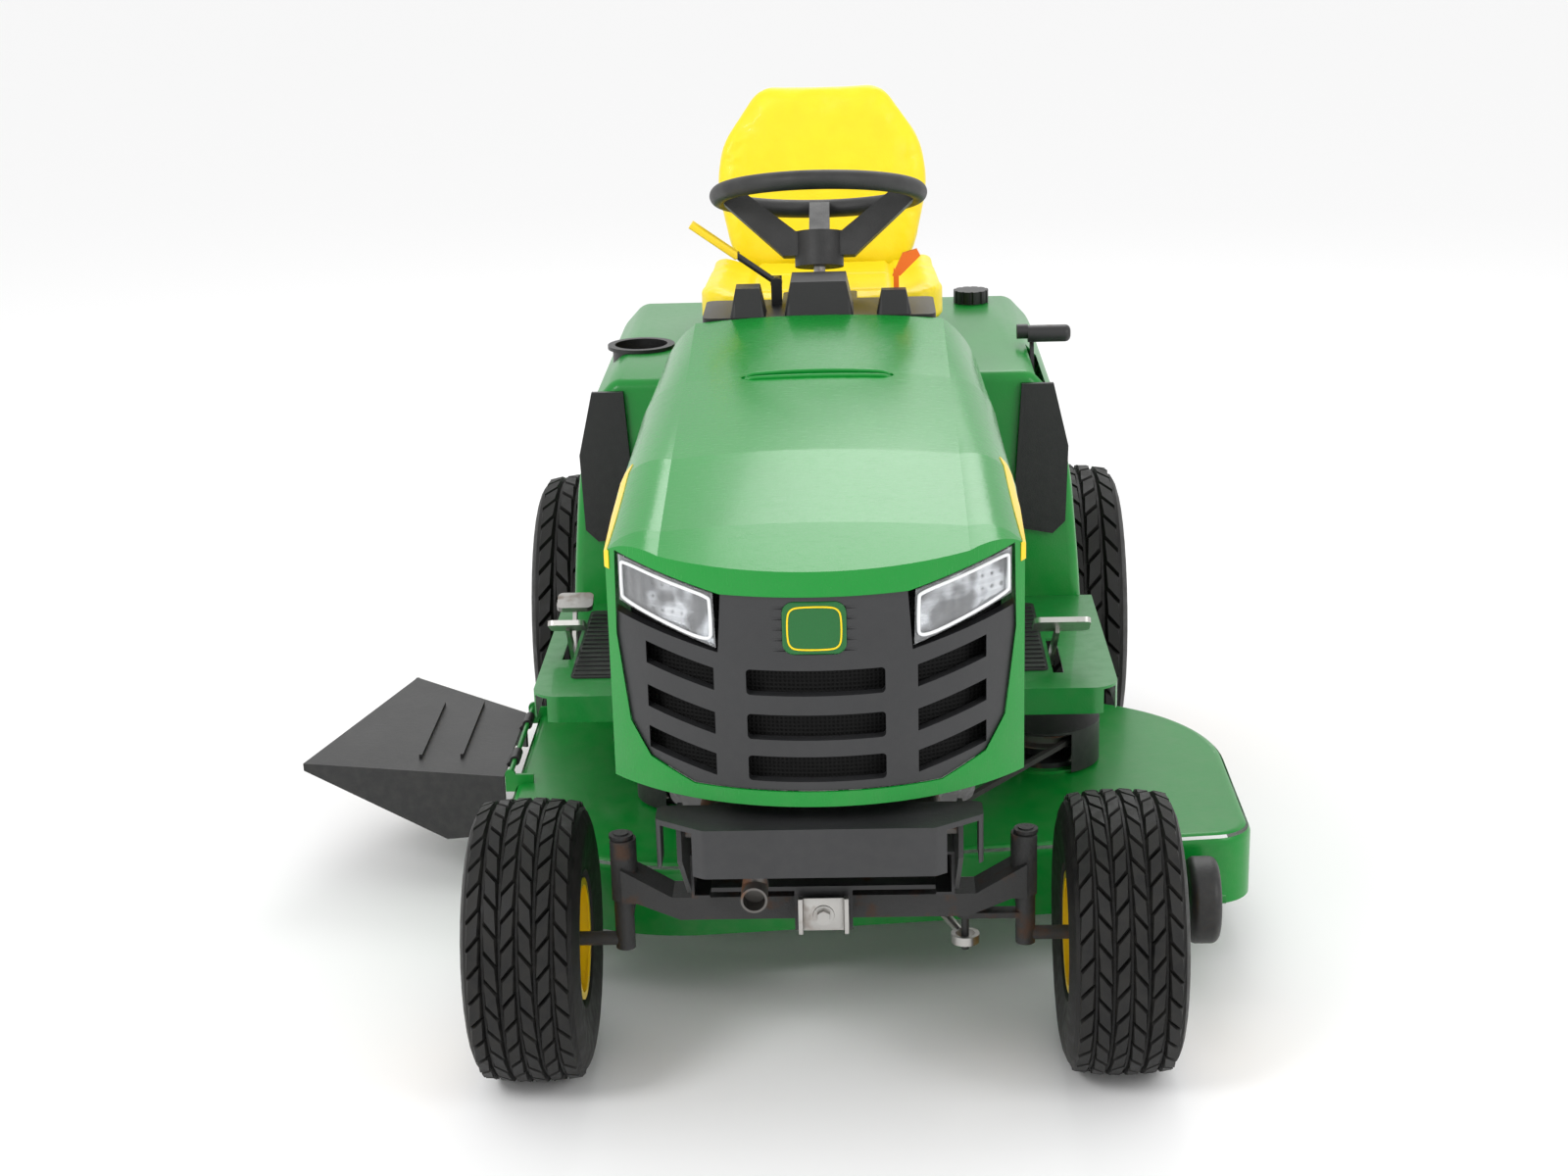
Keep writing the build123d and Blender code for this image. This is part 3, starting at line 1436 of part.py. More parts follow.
back_lean = 9.0
back_t = 62.0
back_low_z = 815.0
back_plane = Plane(origin=(0, 130, back_low_z), x_dir=(1, 0, 0),
                   z_dir=(0, -cos(radians(back_lean)), sin(radians(back_lean))))
with BuildPart() as seat_pan:
    with BuildSketch(at_z(pan_z)):
        with Locations((0, -40)):
            RectangleRounded(250, 330, 30)
    extrude(amount=4)
    with BuildSketch(at_x(-140)):
        with Locations((seat_hinge_y, seat_hinge_z)):
            Circle(5)
    extrude(amount=280)
    with BuildSketch(at_x(-122)):
        with Locations((seat_hinge_y + 6, (pan_z + seat_hinge_z + 7) / 2)):
            Rectangle(24, seat_hinge_z + 7 - pan_z)
    extrude(amount=244)
    # Leaning plate behind the back cushion.
    with BuildSketch(back_plane.offset(-back_t - seat_gap)):
        with Locations((0, pan_z - back_low_z)):
            Rectangle(150, 150, align=(Align.CENTER, Align.MIN))
    extrude(amount=-5)
    with BuildSketch(at_z(pan_z)):
        with Locations((0, 150)):
            Rectangle(150, 102)
    extrude(amount=4)
keep("seat_pan", seat_pan)

cushion_z = seat_hinge_z + 12
cushion_half = 214.0
with BuildPart() as seat_cushion:
    with BuildSketch(at_z(cushion_z)):
        with Locations((0, -52)):
            RectangleRounded(2 * cushion_half, 360, 80)
    extrude(amount=52)
    fillet(seat_cushion.faces().sort_by(Axis.Z)[-1].edges(), 24)
keep("seat_cushion", seat_cushion)

back_outline = (
    (-150, 815), (-178, 860), (-203, 985), (-192, 1060), (-125, 1172),
    (125, 1172), (192, 1060), (203, 985), (178, 860), (150, 815),
)
with BuildPart() as seat_back:
    with BuildSketch(back_plane):
        with BuildLine():
            Polyline(*[(x, z - back_low_z) for x, z in back_outline], close=True)
        make_face()
    extrude(amount=-back_t)
keep("seat_back", seat_back)

# ---------------------------------------------------------------- hitch plate
hitch_z = rail_z - 6
hitch_hole_r = 9.5
hitch_y = fender_rear_y - 20
with BuildPart() as hitch_plate:
    with BuildSketch(at_z(hitch_z)):
        with Locations((0, hitch_y - 30)):
            RectangleRounded(2 * rail_outer_x, 96, 12)
        with Locations((0, hitch_y)):
            Circle(hitch_hole_r, mode=Mode.SUBTRACT)
    extrude(amount=6)
keep("hitch_plate", hitch_plate)

# ---------------------------------------------------------------- deck lift
lift_arm = 160.0
lift_pin_r = 6.0
lift_arm_x = 129.0

hanger_x = 122.0
hanger_t = 5.0
lift_rise = deck_drop / 2
lift_reach = sqrt(lift_arm ** 2 - lift_rise ** 2)
lift_pin_y = lift_shaft_y - lift_reach
lift_pin_z = lift_shaft_z + lift_rise
hanger_slot_y = lift_shaft_y - (lift_reach + lift_arm) / 2
handle_z = 790.0
with BuildPart() as lift_lever:
    with BuildSketch(at_x(-rail_outer_x - 14)):
        with Locations((lift_shaft_y, lift_shaft_z)):
            Circle(lift_shaft_r)
    extrude(amount=rail_outer_x + 14 + lever_x + 4)
    for side in (-1, 1):
        with BuildSketch(Plane(origin=(side * lift_arm_x, lift_shaft_y, lift_shaft_z), x_dir=(0, 1, 0),
                               z_dir=(1, 0, 0))):
            with BuildLine():
                Polyline((0, 11), (0, -11), (-lift_reach, lift_rise - 9), (-lift_reach, lift_rise + 9),
                         close=True)
            make_face()
            with Locations((-lift_reach, lift_rise)):
                Circle(9)
            Circle(14)
        extrude(amount=side * 6)
        with BuildSketch(at_x(side * (lift_arm_x + 2))):
            with Locations((lift_pin_y, lift_pin_z)):
                Circle(lift_pin_r)
        extrude(amount=-side * 14)
    with BuildSketch(at_x(lever_x - 3)):
        with BuildLine():
            Polyline(
                (lift_shaft_y - 12, lift_shaft_z),
                (lift_shaft_y + 12, lift_shaft_z - 4),
                (-170, fender_top + 4),
                (-196, handle_z - 6),
                (-212, handle_z - 6),
                (-188, fender_top + 8),
                close=True,
            )
        make_face()
        with Locations((lift_shaft_y, lift_shaft_z)):
            Circle(16)
    extrude(amount=6)
    # Hand grip, lying across with its thumb knob on the inner side.
    with BuildSketch(at_x(lever_x - 8)):
        with Locations((-204, handle_z - 2)):
            Circle(14)
    extrude(amount=70)
    fillet(lift_lever.edges().filter_by(GeomType.CIRCLE).sort_by(Axis.X)[-1], 9)
    with BuildSketch(at_x(lever_x - 26)):
        with Locations((-204, handle_z + 2)):
            Circle(12)
    extrude(amount=18)
keep("lift_lever", lift_lever)

# ---------------------------------------------------------------- mower deck
housing_flange_r = 60.0
housing_r = 30.0
spindle_r = 12.5
nose_corner_r = 60.0
tail_corner_r = 30.0
gauge_r = 62.0
gauge_w = 44.0
gauge_z = 134.0
gauge_pin_r = 6.0
gauge_left = (532.0, deck_front_y + 145 - nose_corner_r - gauge_r - 16)
gauge_right = (-455.0, deck_front_y + 52)
chute_hinge_x = deck_right_x - 6
chute_hinge_z = deck_top + 14
chute_pin_r = 4.0
chute_front_y = -690.0
chute_rear_y = -375.0


def deck_outline(inset):
    """Plan of the deck: both cutting circles, a nose corner and a square tail at the outlet."""
    with BuildSketch() as plan:
        for x, y, r in (
            (*blade_left_xy, lobe_r),
            (*blade_right_xy, lobe_r),
            (deck_left_x - nose_corner_r, deck_front_y + 145, nose_corner_r),
            (deck_right_x + tail_corner_r, blade_left_xy[1] + lobe_r - tail_corner_r - 6, tail_corner_r),
        ):
            with Locations((x, y)):
                Circle(r - inset)
        make_hull()
    return plan.sketch


deck_outer_plan = deck_outline(0)
deck_inner_plan = deck_outline(deck_wall)

with BuildPart() as deck_shell:
    with BuildSketch(at_z(deck_low)):
        add(deck_outer_plan)
    extrude(amount=deck_top - deck_low)
    fillet(deck_shell.faces().sort_by(Axis.Z)[-1].edges(), 16)
    with BuildSketch(at_z(deck_low - 1)):
        add(deck_inner_plan)
    extrude(amount=deck_top - deck_low + 1 - deck_wall, mode=Mode.SUBTRACT)
    for x, y in (blade_left_xy, blade_right_xy):
        with BuildSketch(at_z(deck_top - 1)):
            with Locations((x, y)):
                Circle(housing_flange_r + 14)
        extrude(amount=5)
    # Outlet on the right.
    with BuildSketch(at_x(deck_right_x - 5)):
        with Locations(((chute_front_y + chute_rear_y) / 2, deck_low + 45)):
            Rectangle(chute_rear_y - chute_front_y - 30, 84)
    extrude(amount=40, mode=Mode.SUBTRACT)
    # Hangers up to the lift arms.
    for side in (-1, 1):
        with BuildSketch(at_x(side * hanger_x)):
            with Locations((hanger_slot_y, (deck_top - 2 + lift_pin_z + 16) / 2)):
                Rectangle(32, lift_pin_z + 16 - deck_top + 2)
            with Locations((hanger_slot_y, lift_pin_z)):
                SlotOverall(2 * lift_pin_r + lift_arm - lift_reach + 3, 2 * lift_pin_r + 1.6,
                            mode=Mode.SUBTRACT)
        extrude(amount=side * hanger_t)
    # Gauge wheel arms with their axle pins.
    for (x, y), arm_x, reach, way in (
        (gauge_left, -gauge_w / 2 - 8, 110, 1),
        (gauge_right, gauge_w / 2 + 4, 90, -1),
    ):
        with BuildSketch(at_x(x + arm_x)):
            with Locations((y - 14, gauge_z)):
                Rectangle(reach, 62, align=(Align.MIN, Align.CENTER))
        extrude(amount=4)
        with BuildSketch(at_x(x + arm_x + 2)):
            with Locations((y, gauge_z)):
                Circle(gauge_pin_r)
        extrude(amount=way * (gauge_w + 18))
    for spindle_xy in (blade_left_xy, blade_right_xy):
        with BuildSketch(at_z(deck_low)):
            with Locations(spindle_xy):
                Circle(housing_r + running)
        extrude(amount=200, mode=Mode.SUBTRACT)
    # Outer ears and pin of the chute hinge.
    for ear_y in (chute_front_y, chute_rear_y - 6):
        with BuildSketch(at_y(ear_y)):
            with Locations((chute_hinge_x + 14, chute_hinge_z - 14)):
                Rectangle(44, 28)
            with Locations((chute_hinge_x, chute_hinge_z)):
                Circle(8)
        extrude(amount=-6)
    with BuildSketch(at_y(chute_front_y)):
        with Locations((chute_hinge_x, chute_hinge_z)):
            Circle(chute_pin_r)
    extrude(amount=-(chute_rear_y - chute_front_y))
keep("deck_shell", deck_shell)

# Blade spindle housings: flange on the deck's top, bearing tube through it.
with BuildPart() as spindle_housings:
    for x, y in (blade_left_xy, blade_right_xy):
        with BuildSketch(at_z(deck_top + 4)):
            with Locations((x, y)):
                Circle(housing_flange_r)
        extrude(amount=8)
        with BuildSketch(at_z(150)):
            with Locations((x, y)):
                Circle(housing_r)
        extrude(amount=84)
        with BuildSketch(at_z(100)):
            with Locations((x, y)):
                Circle(spindle_r + running)
        extrude(amount=200, mode=Mode.SUBTRACT)
keep("spindle_housings", spindle_housings)

blade_z = 112.0
for word, (x, y) in (("left", blade_left_xy), ("right", blade_right_xy)):
    spindle = pulley(x, y, spindle_pulley_r, deck_belt_z, spindle_r - 1)
    with BuildPart() as shaft:
        with BuildSketch(at_z(blade_z + 6)):
            with Locations((x, y)):
                Circle(spindle_r)
        extrude(amount=deck_belt_z + 14 - blade_z - 6)
        with BuildSketch(at_z(blade_z + 6)):
            with Locations((x, y)):
                Circle(24)
        extrude(amount=22)
    # Cutting blade with a raised wing at each trailing edge, held by its bolt.
    with BuildPart() as blade:
        with BuildSketch(at_z(blade_z)):
            with Locations((x, y)):
                Rectangle(2 * blade_r - 12, 62)
            with Locations((x, y)):
                Circle(blade_r, mode=Mode.INTERSECT)
        extrude(amount=6)
        for end in (-1, 1):
            with BuildSketch(at_x(x + end * (blade_r - 100))):
                with BuildLine():
                    Polyline(
                        (y - end * 20, blade_z + 3),
                        (y - end * 31, blade_z + 3),
                        (y - end * 31, blade_z + 22),
                        (y - end * 28, blade_z + 24),
                        close=True,
                    )
                make_face()
            extrude(amount=end * 88)
        with BuildSketch(at_z(blade_z - 9)):
            with Locations((x, y)):
                RegularPolygon(13, 6)
        extrude(amount=9)
    blade.part = blade.part + spindle.part + shaft.part
    keep("blade_" + word, blade)

# Belt covers: a disc over each spindle pulley with a wall on its outer half.
cover_r = 86.0
with BuildPart() as belt_covers:
    for (x, y), way in ((blade_left_xy, 1), (blade_right_xy, -1)):
        with BuildSketch(at_z(deck_top + 4)):
            with Locations((x, y)):
                Circle(cover_r)
                Circle(cover_r - 3, mode=Mode.SUBTRACT)
            with Locations((x - way * (cover_r - 22), y)):
                Rectangle(2 * cover_r + 30, 4 * cover_r, mode=Mode.SUBTRACT)
        extrude(amount=64)
        with BuildSketch(at_z(deck_top + 66)):
            with Locations((x, y)):
                Circle(cover_r)
        extrude(amount=4)
keep("belt_covers", belt_covers)

spindle_belt_r = spindle_pulley_r - belt_t - 1 + seat_gap
keep("deck_belt", belt_loop(((0, crank_y, pto_pulley_r - belt_t - 1 + seat_gap),
                             (*blade_left_xy, spindle_belt_r),
                             (*blade_right_xy, spindle_belt_r)), deck_belt_z))

# ---------------------------------------------------------------- discharge chute
# A deep plastic hood that hinges up beside the deck, with skirts at its front and rear edges.
chute_t = 4.0
knuckle_out = chute_hinge_x - 11
chute_plan = (
    (knuckle_out, chute_front_y + 8),
    (chute_outer_x, -611),
    (chute_outer_x + 116, -198),
    (knuckle_out, chute_rear_y - 14),
)


def skirt(start, end, drops):
    """A wall hanging from one edge of the chute's top."""
    along = Vector(end[0] - start[0], end[1] - start[1], 0)
    with BuildPart() as wall:
        with BuildSketch(Plane(origin=(*start, chute_z), x_dir=along,
                               z_dir=along.cross(Vector(0, 0, -1)))):
            with BuildLine():
                Polyline((0, 0), *[(share * along.length, drop) for share, drop in drops],
                         (along.length, 0), close=True)
            make_face()
        extrude(amount=-chute_t)
    return wall.part


skirts = (
    skirt(chute_plan[0], chute_plan[1], ((0, 96), (0.3, 112), (1, 12))),
    skirt(chute_plan[1], chute_plan[2], ((0, 12), (1, 12))),
    skirt(chute_plan[2], chute_plan[3], ((0, 12), (0.75, 70), (1, 60))),
)


with BuildPart() as discharge_chute:
    with BuildSketch(at_z(chute_z)):
        with BuildLine():
            Polyline(*chute_plan, close=True)
        make_face()
    extrude(amount=-chute_t)
    for wall in skirts:
        add(wall)
    for y in (chute_front_y + 60, chute_rear_y - 90):
        with BuildSketch(at_y(y)):
            with Locations((chute_hinge_x, chute_hinge_z)):
                Circle(8)
            with Locations((chute_hinge_x - 10, chute_z - chute_t / 2)):
                Rectangle(14, chute_t)
            with BuildLine():
                Polyline((chute_hinge_x - 8, chute_hinge_z), (chute_hinge_x - 16, chute_z - 2),
                         (chute_hinge_x - 4, chute_z - 1), (chute_hinge_x, chute_hinge_z - 8), close=True)
            make_face()
            with Locations((chute_hinge_x, chute_hinge_z)):
                Circle(chute_pin_r + running, mode=Mode.SUBTRACT)
        extrude(amount=-40)
    # Stiffening ribs on top.
    for share in (0.42, 0.62):
        with BuildSketch(at_z(chute_z - 1)):
            with Locations((knuckle_out - share * (knuckle_out - chute_outer_x) + 60, -470)):
                Rectangle(5, 250)
        extrude(amount=7)
keep("discharge_chute", discharge_chute)

# ---------------------------------------------------------------- gauge wheels
for word, (x, y) in (("left", gauge_left), ("right", gauge_right)):
    with BuildPart() as gauge_wheel:
        with BuildSketch(at_x(x - gauge_w / 2)):
            with Locations((y, gauge_z)):
                Circle(gauge_r)
        extrude(amount=gauge_w)
        fillet(gauge_wheel.edges().filter_by(GeomType.CIRCLE), 12)
        with BuildSketch(at_x(x - gauge_w)):
            with Locations((y, gauge_z)):
                Circle(gauge_pin_r + running)
        extrude(amount=2 * gauge_w, mode=Mode.SUBTRACT)
    keep("gauge_wheel_" + word, gauge_wheel)

# ---------------------------------------------------------------- export
os.makedirs("parts", exist_ok=True)
for name, piece in pieces.items():
    placed = piece.moved(Location((-middle_x, -middle_y, 0)))
    placed.label = name
    export_step(placed, f"parts/{name}.step")
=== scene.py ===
from math import cos, pi, radians, sin

import bmesh
import bpy
from mathutils import Matrix, Vector


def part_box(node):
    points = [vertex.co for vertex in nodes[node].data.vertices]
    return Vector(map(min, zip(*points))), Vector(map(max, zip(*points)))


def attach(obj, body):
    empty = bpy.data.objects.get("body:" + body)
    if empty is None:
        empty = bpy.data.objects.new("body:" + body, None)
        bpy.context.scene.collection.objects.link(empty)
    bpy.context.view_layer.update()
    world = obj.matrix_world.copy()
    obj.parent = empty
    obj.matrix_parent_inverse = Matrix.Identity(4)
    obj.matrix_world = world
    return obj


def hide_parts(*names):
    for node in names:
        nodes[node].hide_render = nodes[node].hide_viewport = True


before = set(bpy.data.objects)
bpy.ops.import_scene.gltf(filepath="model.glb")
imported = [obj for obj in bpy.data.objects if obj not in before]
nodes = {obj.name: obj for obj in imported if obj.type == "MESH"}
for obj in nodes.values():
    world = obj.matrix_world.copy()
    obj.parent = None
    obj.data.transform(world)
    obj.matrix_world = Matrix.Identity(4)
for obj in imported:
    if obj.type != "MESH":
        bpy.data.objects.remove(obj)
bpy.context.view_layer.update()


# Camera: a long lens at head height, a little to the driver's left of the nose.
camera_data = bpy.data.cameras.new("camera")
camera_data.lens = 58.31
camera_data.sensor_width = 36.0
camera_data.shift_x = 0.0066
camera_data.shift_y = 0.0578
camera = bpy.data.objects.new("camera", camera_data)
bpy.context.collection.objects.link(camera)
camera.matrix_world = (
    Matrix.Translation((0.1602, -3.7137, 1.62))
    @ Matrix.Rotation(radians(2.097), 4, "Z")
    @ Matrix.Rotation(radians(90 - 18.972), 4, "X")
    @ Matrix.Rotation(radians(-1.668), 4, "Z")
)
bpy.context.scene.camera = camera


# Studio: a wide pale floor, a bright even surround and three large soft lamps.
def link(mesh, name):
    """An object for a finished mesh."""
    made = bpy.data.objects.new(name, mesh)
    bpy.context.collection.objects.link(made)
    return made


floor_shape = bmesh.new()
bmesh.ops.create_grid(floor_shape, x_segments=1, y_segments=1, size=30)
floor_mesh = bpy.data.meshes.new("floor")
floor_shape.to_mesh(floor_mesh)
floor = link(floor_mesh, "floor")
floor_finish = bpy.data.materials.new("floor")
floor_finish.use_nodes = True
floor_shader = floor_finish.node_tree.nodes["Principled BSDF"]
floor_shader.inputs["Base Color"].default_value = (0.93, 0.93, 0.93, 1)
floor_shader.inputs["Roughness"].default_value = 0.9
floor_mesh.materials.append(floor_finish)
world = bpy.data.worlds.new("surround")
world.use_nodes = True
world.node_tree.nodes["Background"].inputs["Color"].default_value = (1, 1, 1, 1)
world.node_tree.nodes["Background"].inputs["Strength"].default_value = 1.0
bpy.context.scene.world = world
bpy.context.scene.view_settings.view_transform = "Standard"
for word, place, size, power in (
    ("key", (-2.6, -3.4, 3.6), 1.6, 75),
    ("fill", (3.2, -2.6, 2.6), 1.8, 35),
    ("back", (0.6, 3.2, 3.8), 2.4, 45),
):
    lamp_data = bpy.data.lights.new(word, "AREA")
    lamp_data.shape = "DISK"
    lamp_data.size = size
    lamp_data.energy = power
    lamp = bpy.data.objects.new(word, lamp_data)
    lamp.location = place
    aim = Vector((0, 0, 0.6)) - Vector(place)
    lamp.rotation_euler = aim.to_track_quat("-Z", "Y").to_euler()
    bpy.context.collection.objects.link(lamp)


# Hood: moulded plastic, green right through and polished, tipping forward on two pins at its chin.
# It clips down over the engine, and years of grass dust have settled in its texture.
class Value:
    """A socket whose arithmetic adds Math nodes."""

    def __init__(self, tree, socket):
        self.tree, self.socket = tree, socket

    def math(self, operation, first, second=0.0, clamp=False):
        node = self.tree.nodes.new("ShaderNodeMath")
        node.operation = operation
        node.use_clamp = clamp
        for place, given in enumerate((first, second)):
            if isinstance(given, Value):
                self.tree.links.new(given.socket, node.inputs[place])
            else:
                node.inputs[place].default_value = given
        return Value(self.tree, node.outputs[0])

    def __add__(self, other):
        return self.math("ADD", self, other)

    def __sub__(self, other):
        return self.math("SUBTRACT", self, other)

    def __mul__(self, other):
        return self.math("MULTIPLY", self, other)

    def __rsub__(self, other):
        return self.math("SUBTRACT", other, self)

    __radd__ = __add__
    __rmul__ = __mul__

    def above(self, edge, width):
        """0 below the edge, 1 above it, and a ramp of that width between."""
        return self.math("MULTIPLY", self - (edge - width / 2), 1 / width, clamp=True)


class Finish:
    """A material and the nodes that it is mixed from."""

    def __init__(self, name, roughness, metallic=0.0, coat=0.0, specular=0.5):
        self.material = bpy.data.materials.new(name)
        self.material.use_nodes = True
        self.tree = self.material.node_tree
        self.shader = self.tree.nodes["Principled BSDF"]
        self.set("Roughness", roughness)
        self.set("Metallic", metallic)
        self.set("Coat Weight", coat)
        self.set("Specular IOR Level", specular)
        self.place = self.node("ShaderNodeTexCoord", {}, {}, "Object")

    def node(self, kind, settings, inputs, output=0):
        """Any node: its settings first, then the values or links of its sockets."""
        made = self.tree.nodes.new(kind)
        for name, setting in settings.items():
            if name == "stops":
                ramp = made.color_ramp
                while len(ramp.elements) < len(setting):
                    ramp.elements.new(0.5)
                for element, (position, colour) in zip(ramp.elements, setting):
                    element.position = position
                    element.color = (*colour, 1)
            else:
                setattr(made, name, setting)
        for name, given in inputs.items():
            if isinstance(given, Value):
                self.tree.links.new(given.socket, made.inputs[name])
            else:
                made.inputs[name].default_value = given
        return Value(self.tree, made.outputs[output])

    def set(self, name, given):
        """A socket of the shader, from a number, a colour or a Value."""
        if isinstance(given, Value):
            self.tree.links.new(given.socket, self.shader.inputs[name])
        else:
            self.shader.inputs[name].default_value = given

    def noise(self, scale, detail=3.0, stretch=(1, 1, 1)):
        """Noise of that many blotches to the metre, stretched along an axis if wanted."""
        where = self.node("ShaderNodeMapping", {}, {"Vector": self.place, "Scale": stretch})
        return self.node("ShaderNodeTexNoise", {},
                         {"Vector": where, "Scale": scale, "Detail": detail})

    def cells(self, scale, feature="F1"):
        """Distance from cell centres or edges."""
        return self.node("ShaderNodeTexVoronoi", {"feature": feature},
                         {"Vector": self.place, "Scale": scale}, "Distance")

    def axis(self, letter):
        """One coordinate, in metres."""
        return self.node("ShaderNodeSeparateXYZ", {}, {"Vector": self.place}, letter)

    def mix(self, factor, first, second):
        """A colour between two."""
        first, second = ((*c, 1) if isinstance(c, tuple) else c for c in (first, second))
        return self.node("ShaderNodeMix", {"data_type": "RGBA"},
                         {0: factor, 6: first, 7: second}, 2)

    def relief(self, height, depth, below=None):
        """Bump of that depth in metres, over another if given."""
        inputs = {"Height": height, "Distance": depth, "Strength": 1.0}
        if below:
            inputs["Normal"] = below
        return self.node("ShaderNodeBump", {}, inputs)


def enamel(name, colour, dusty, peel=0.00012, gloss=0.28, metallic=0.0):
    """Sprayed or moulded gloss colour with orange peel, dust near the ground and fine rubbing."""
    finish = Finish(name, gloss, metallic, coat=0.12, specular=0.32)
    finish.set("Coat Roughness", 0.1)
    cloudy = finish.noise(5, 4)
    shade = finish.mix(cloudy.above(0.5, 0.5), tuple(c * 0.93 for c in colour),
                       tuple(min(1.0, c * 1.05) for c in colour))
    low_down = 1 - finish.axis("Z").above(0.5, 0.9)
    dust = finish.noise(38, 6).above(0.56, 0.3) * low_down * dusty * 0.25
    finish.set("Base Color", finish.mix(dust, shade, (0.3, 0.29, 0.22)))
    rub = finish.noise(60, 5, (1, 14, 1)).above(0.62, 0.2)
    finish.set("Roughness", rub * 0.1 + dust * 0.4 + gloss)
    finish.set("Normal", finish.relief(finish.noise(420, 2), peel))
    return finish.material


def paint(material, *names):
    """Puts a finish on CAD nodes."""
    for name in names:
        mesh = nodes[name].data
        mesh.materials.clear()
        mesh.materials.append(material)
        for slot in nodes[name].material_slots:
            slot.link = "DATA"


green = (0.002, 0.24, 0.026)
green_plastic = enamel("green_plastic", green, 0.25, gloss=0.22)
paint(green_plastic, "hood_shell")


# Trims of the hood: a yellow stripe moulding let into each flank, and the raised lip round the
# warm-air slot in front of the wheel. Both are clipped from inside.
def settle(shape, name, body, material, crease=35):
    """Closes a shape up, turns its faces outwards and makes it a piece that rides on a body."""
    bmesh.ops.remove_doubles(shape, verts=shape.verts[:], dist=0.00002)
    bmesh.ops.recalc_face_normals(shape, faces=shape.faces[:])
    mesh = bpy.data.meshes.new(name)
    shape.to_mesh(mesh)
    shape.free()
    mesh.shade_smooth()
    mesh.set_sharp_from_angle(angle=radians(crease))
    mesh.materials.append(material)
    piece = link(mesh, name)
    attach(piece, body)
    return piece


def block(shape, low, high, rounding, turn=None, segments=2):
    """Adds a block between two corners, its edges rounded, turned about its middle if wanted."""
    middle = (Vector(low) + Vector(high)) / 2
    size = Vector(high) - Vector(low)
    added = bmesh.ops.create_cube(shape, size=1)["verts"]
    bmesh.ops.scale(shape, vec=size, verts=added)
    edges = list({edge for vert in added for edge in vert.link_edges})
    rounded = bmesh.ops.bevel(shape, geom=edges, offset=rounding, affect="EDGES",
                              segments=segments, profile=0.5, material=-1)["verts"]
    verts = list({vert for vert in rounded if vert.is_valid} | {v for v in added if v.is_valid})
    if turn:
        bmesh.ops.rotate(shape, verts=verts, cent=(0, 0, 0), matrix=turn.to_3x3())
    bmesh.ops.translate(shape, vec=middle, verts=verts)
    return verts


def along(points, name, radius, body, material, closed=False, resolution=3):
    """A round bar or bead that follows points, made a mesh."""
    line = bpy.data.curves.new(name, "CURVE")
    line.dimensions = "3D"
    line.bevel_depth = radius
    line.bevel_resolution = resolution
    line.use_fill_caps = True
    line.resolution_u = 6
    spline = line.splines.new("NURBS")
    spline.points.add(len(points) - 1)
    for point, place in zip(spline.points, points):
        point.co = (*place, 1)
    spline.order_u = 3
    spline.use_endpoint_u = not closed
    spline.use_cyclic_u = closed
    bent = bpy.data.objects.new(name, line)
    mesh = bpy.data.meshes.new_from_object(bent)
    bpy.data.objects.remove(bent)
    shape = bmesh.new()
    shape.from_mesh(mesh)
    return settle(shape, name, body, material, 50)


# The mower's own middle line and its rear axle, which its pieces are set out from.
centre_x = 0.1055
rear_axle_y = 0.628
yellow = (0.94, 0.64, 0.006)
yellow_plastic = enamel("yellow_plastic", yellow, 0.15, gloss=0.3)
for word, side in (("left", 1), ("right", -1)):
    stripe = bmesh.new()
    stripe.from_mesh(nodes["hood_shell"].data)
    bmesh.ops.remove_doubles(stripe, verts=stripe.verts[:], dist=0.00002)
    for point, facing in (
        ((0, -0.757, 0), (0, -1, 0)), ((0, -0.492, 0), (0, 1, 0)),
        ((0, -0.757, 0.748), (0, 0.19, -1)), ((0, -0.757, 0.771), (0, -0.15, 1)),
    ):
        bmesh.ops.bisect_plane(stripe, geom=stripe.verts[:] + stripe.edges[:] + stripe.faces[:],
                               plane_co=point, plane_no=facing, clear_outer=True)
    hidden = [face for face in stripe.faces if face.normal.x * side < 0.15]
    bmesh.ops.delete(stripe, geom=hidden, context="FACES")
    stripe.normal_update()
    for vert in stripe.verts:
        vert.co += vert.normal * 0.0012
    bmesh.ops.solidify(stripe, geom=stripe.faces[:], thickness=0.001)
    settle(stripe, "stripe_" + word, "hood", yellow_plastic)
bpy.context.view_layer.update()
lip = []
for turn in range(24):
    angle = 2 * pi * turn / 24
    x = centre_x + 0.103 * max(-1, min(1, 1.35 * cos(angle)))
    y = rear_axle_y - 0.838 + 0.0115 * sin(angle)
    hit, place, facing, face = nodes["hood_shell"].ray_cast(Vector((x, y, 1.4)), Vector((0, 0, -1)))
    lip.append((x, y, (place.z if hit and place.z > 0.8 else 0.852) + 0.001))
along(lip, "slot_lip", 0.0032, "hood", green_plastic, closed=True)


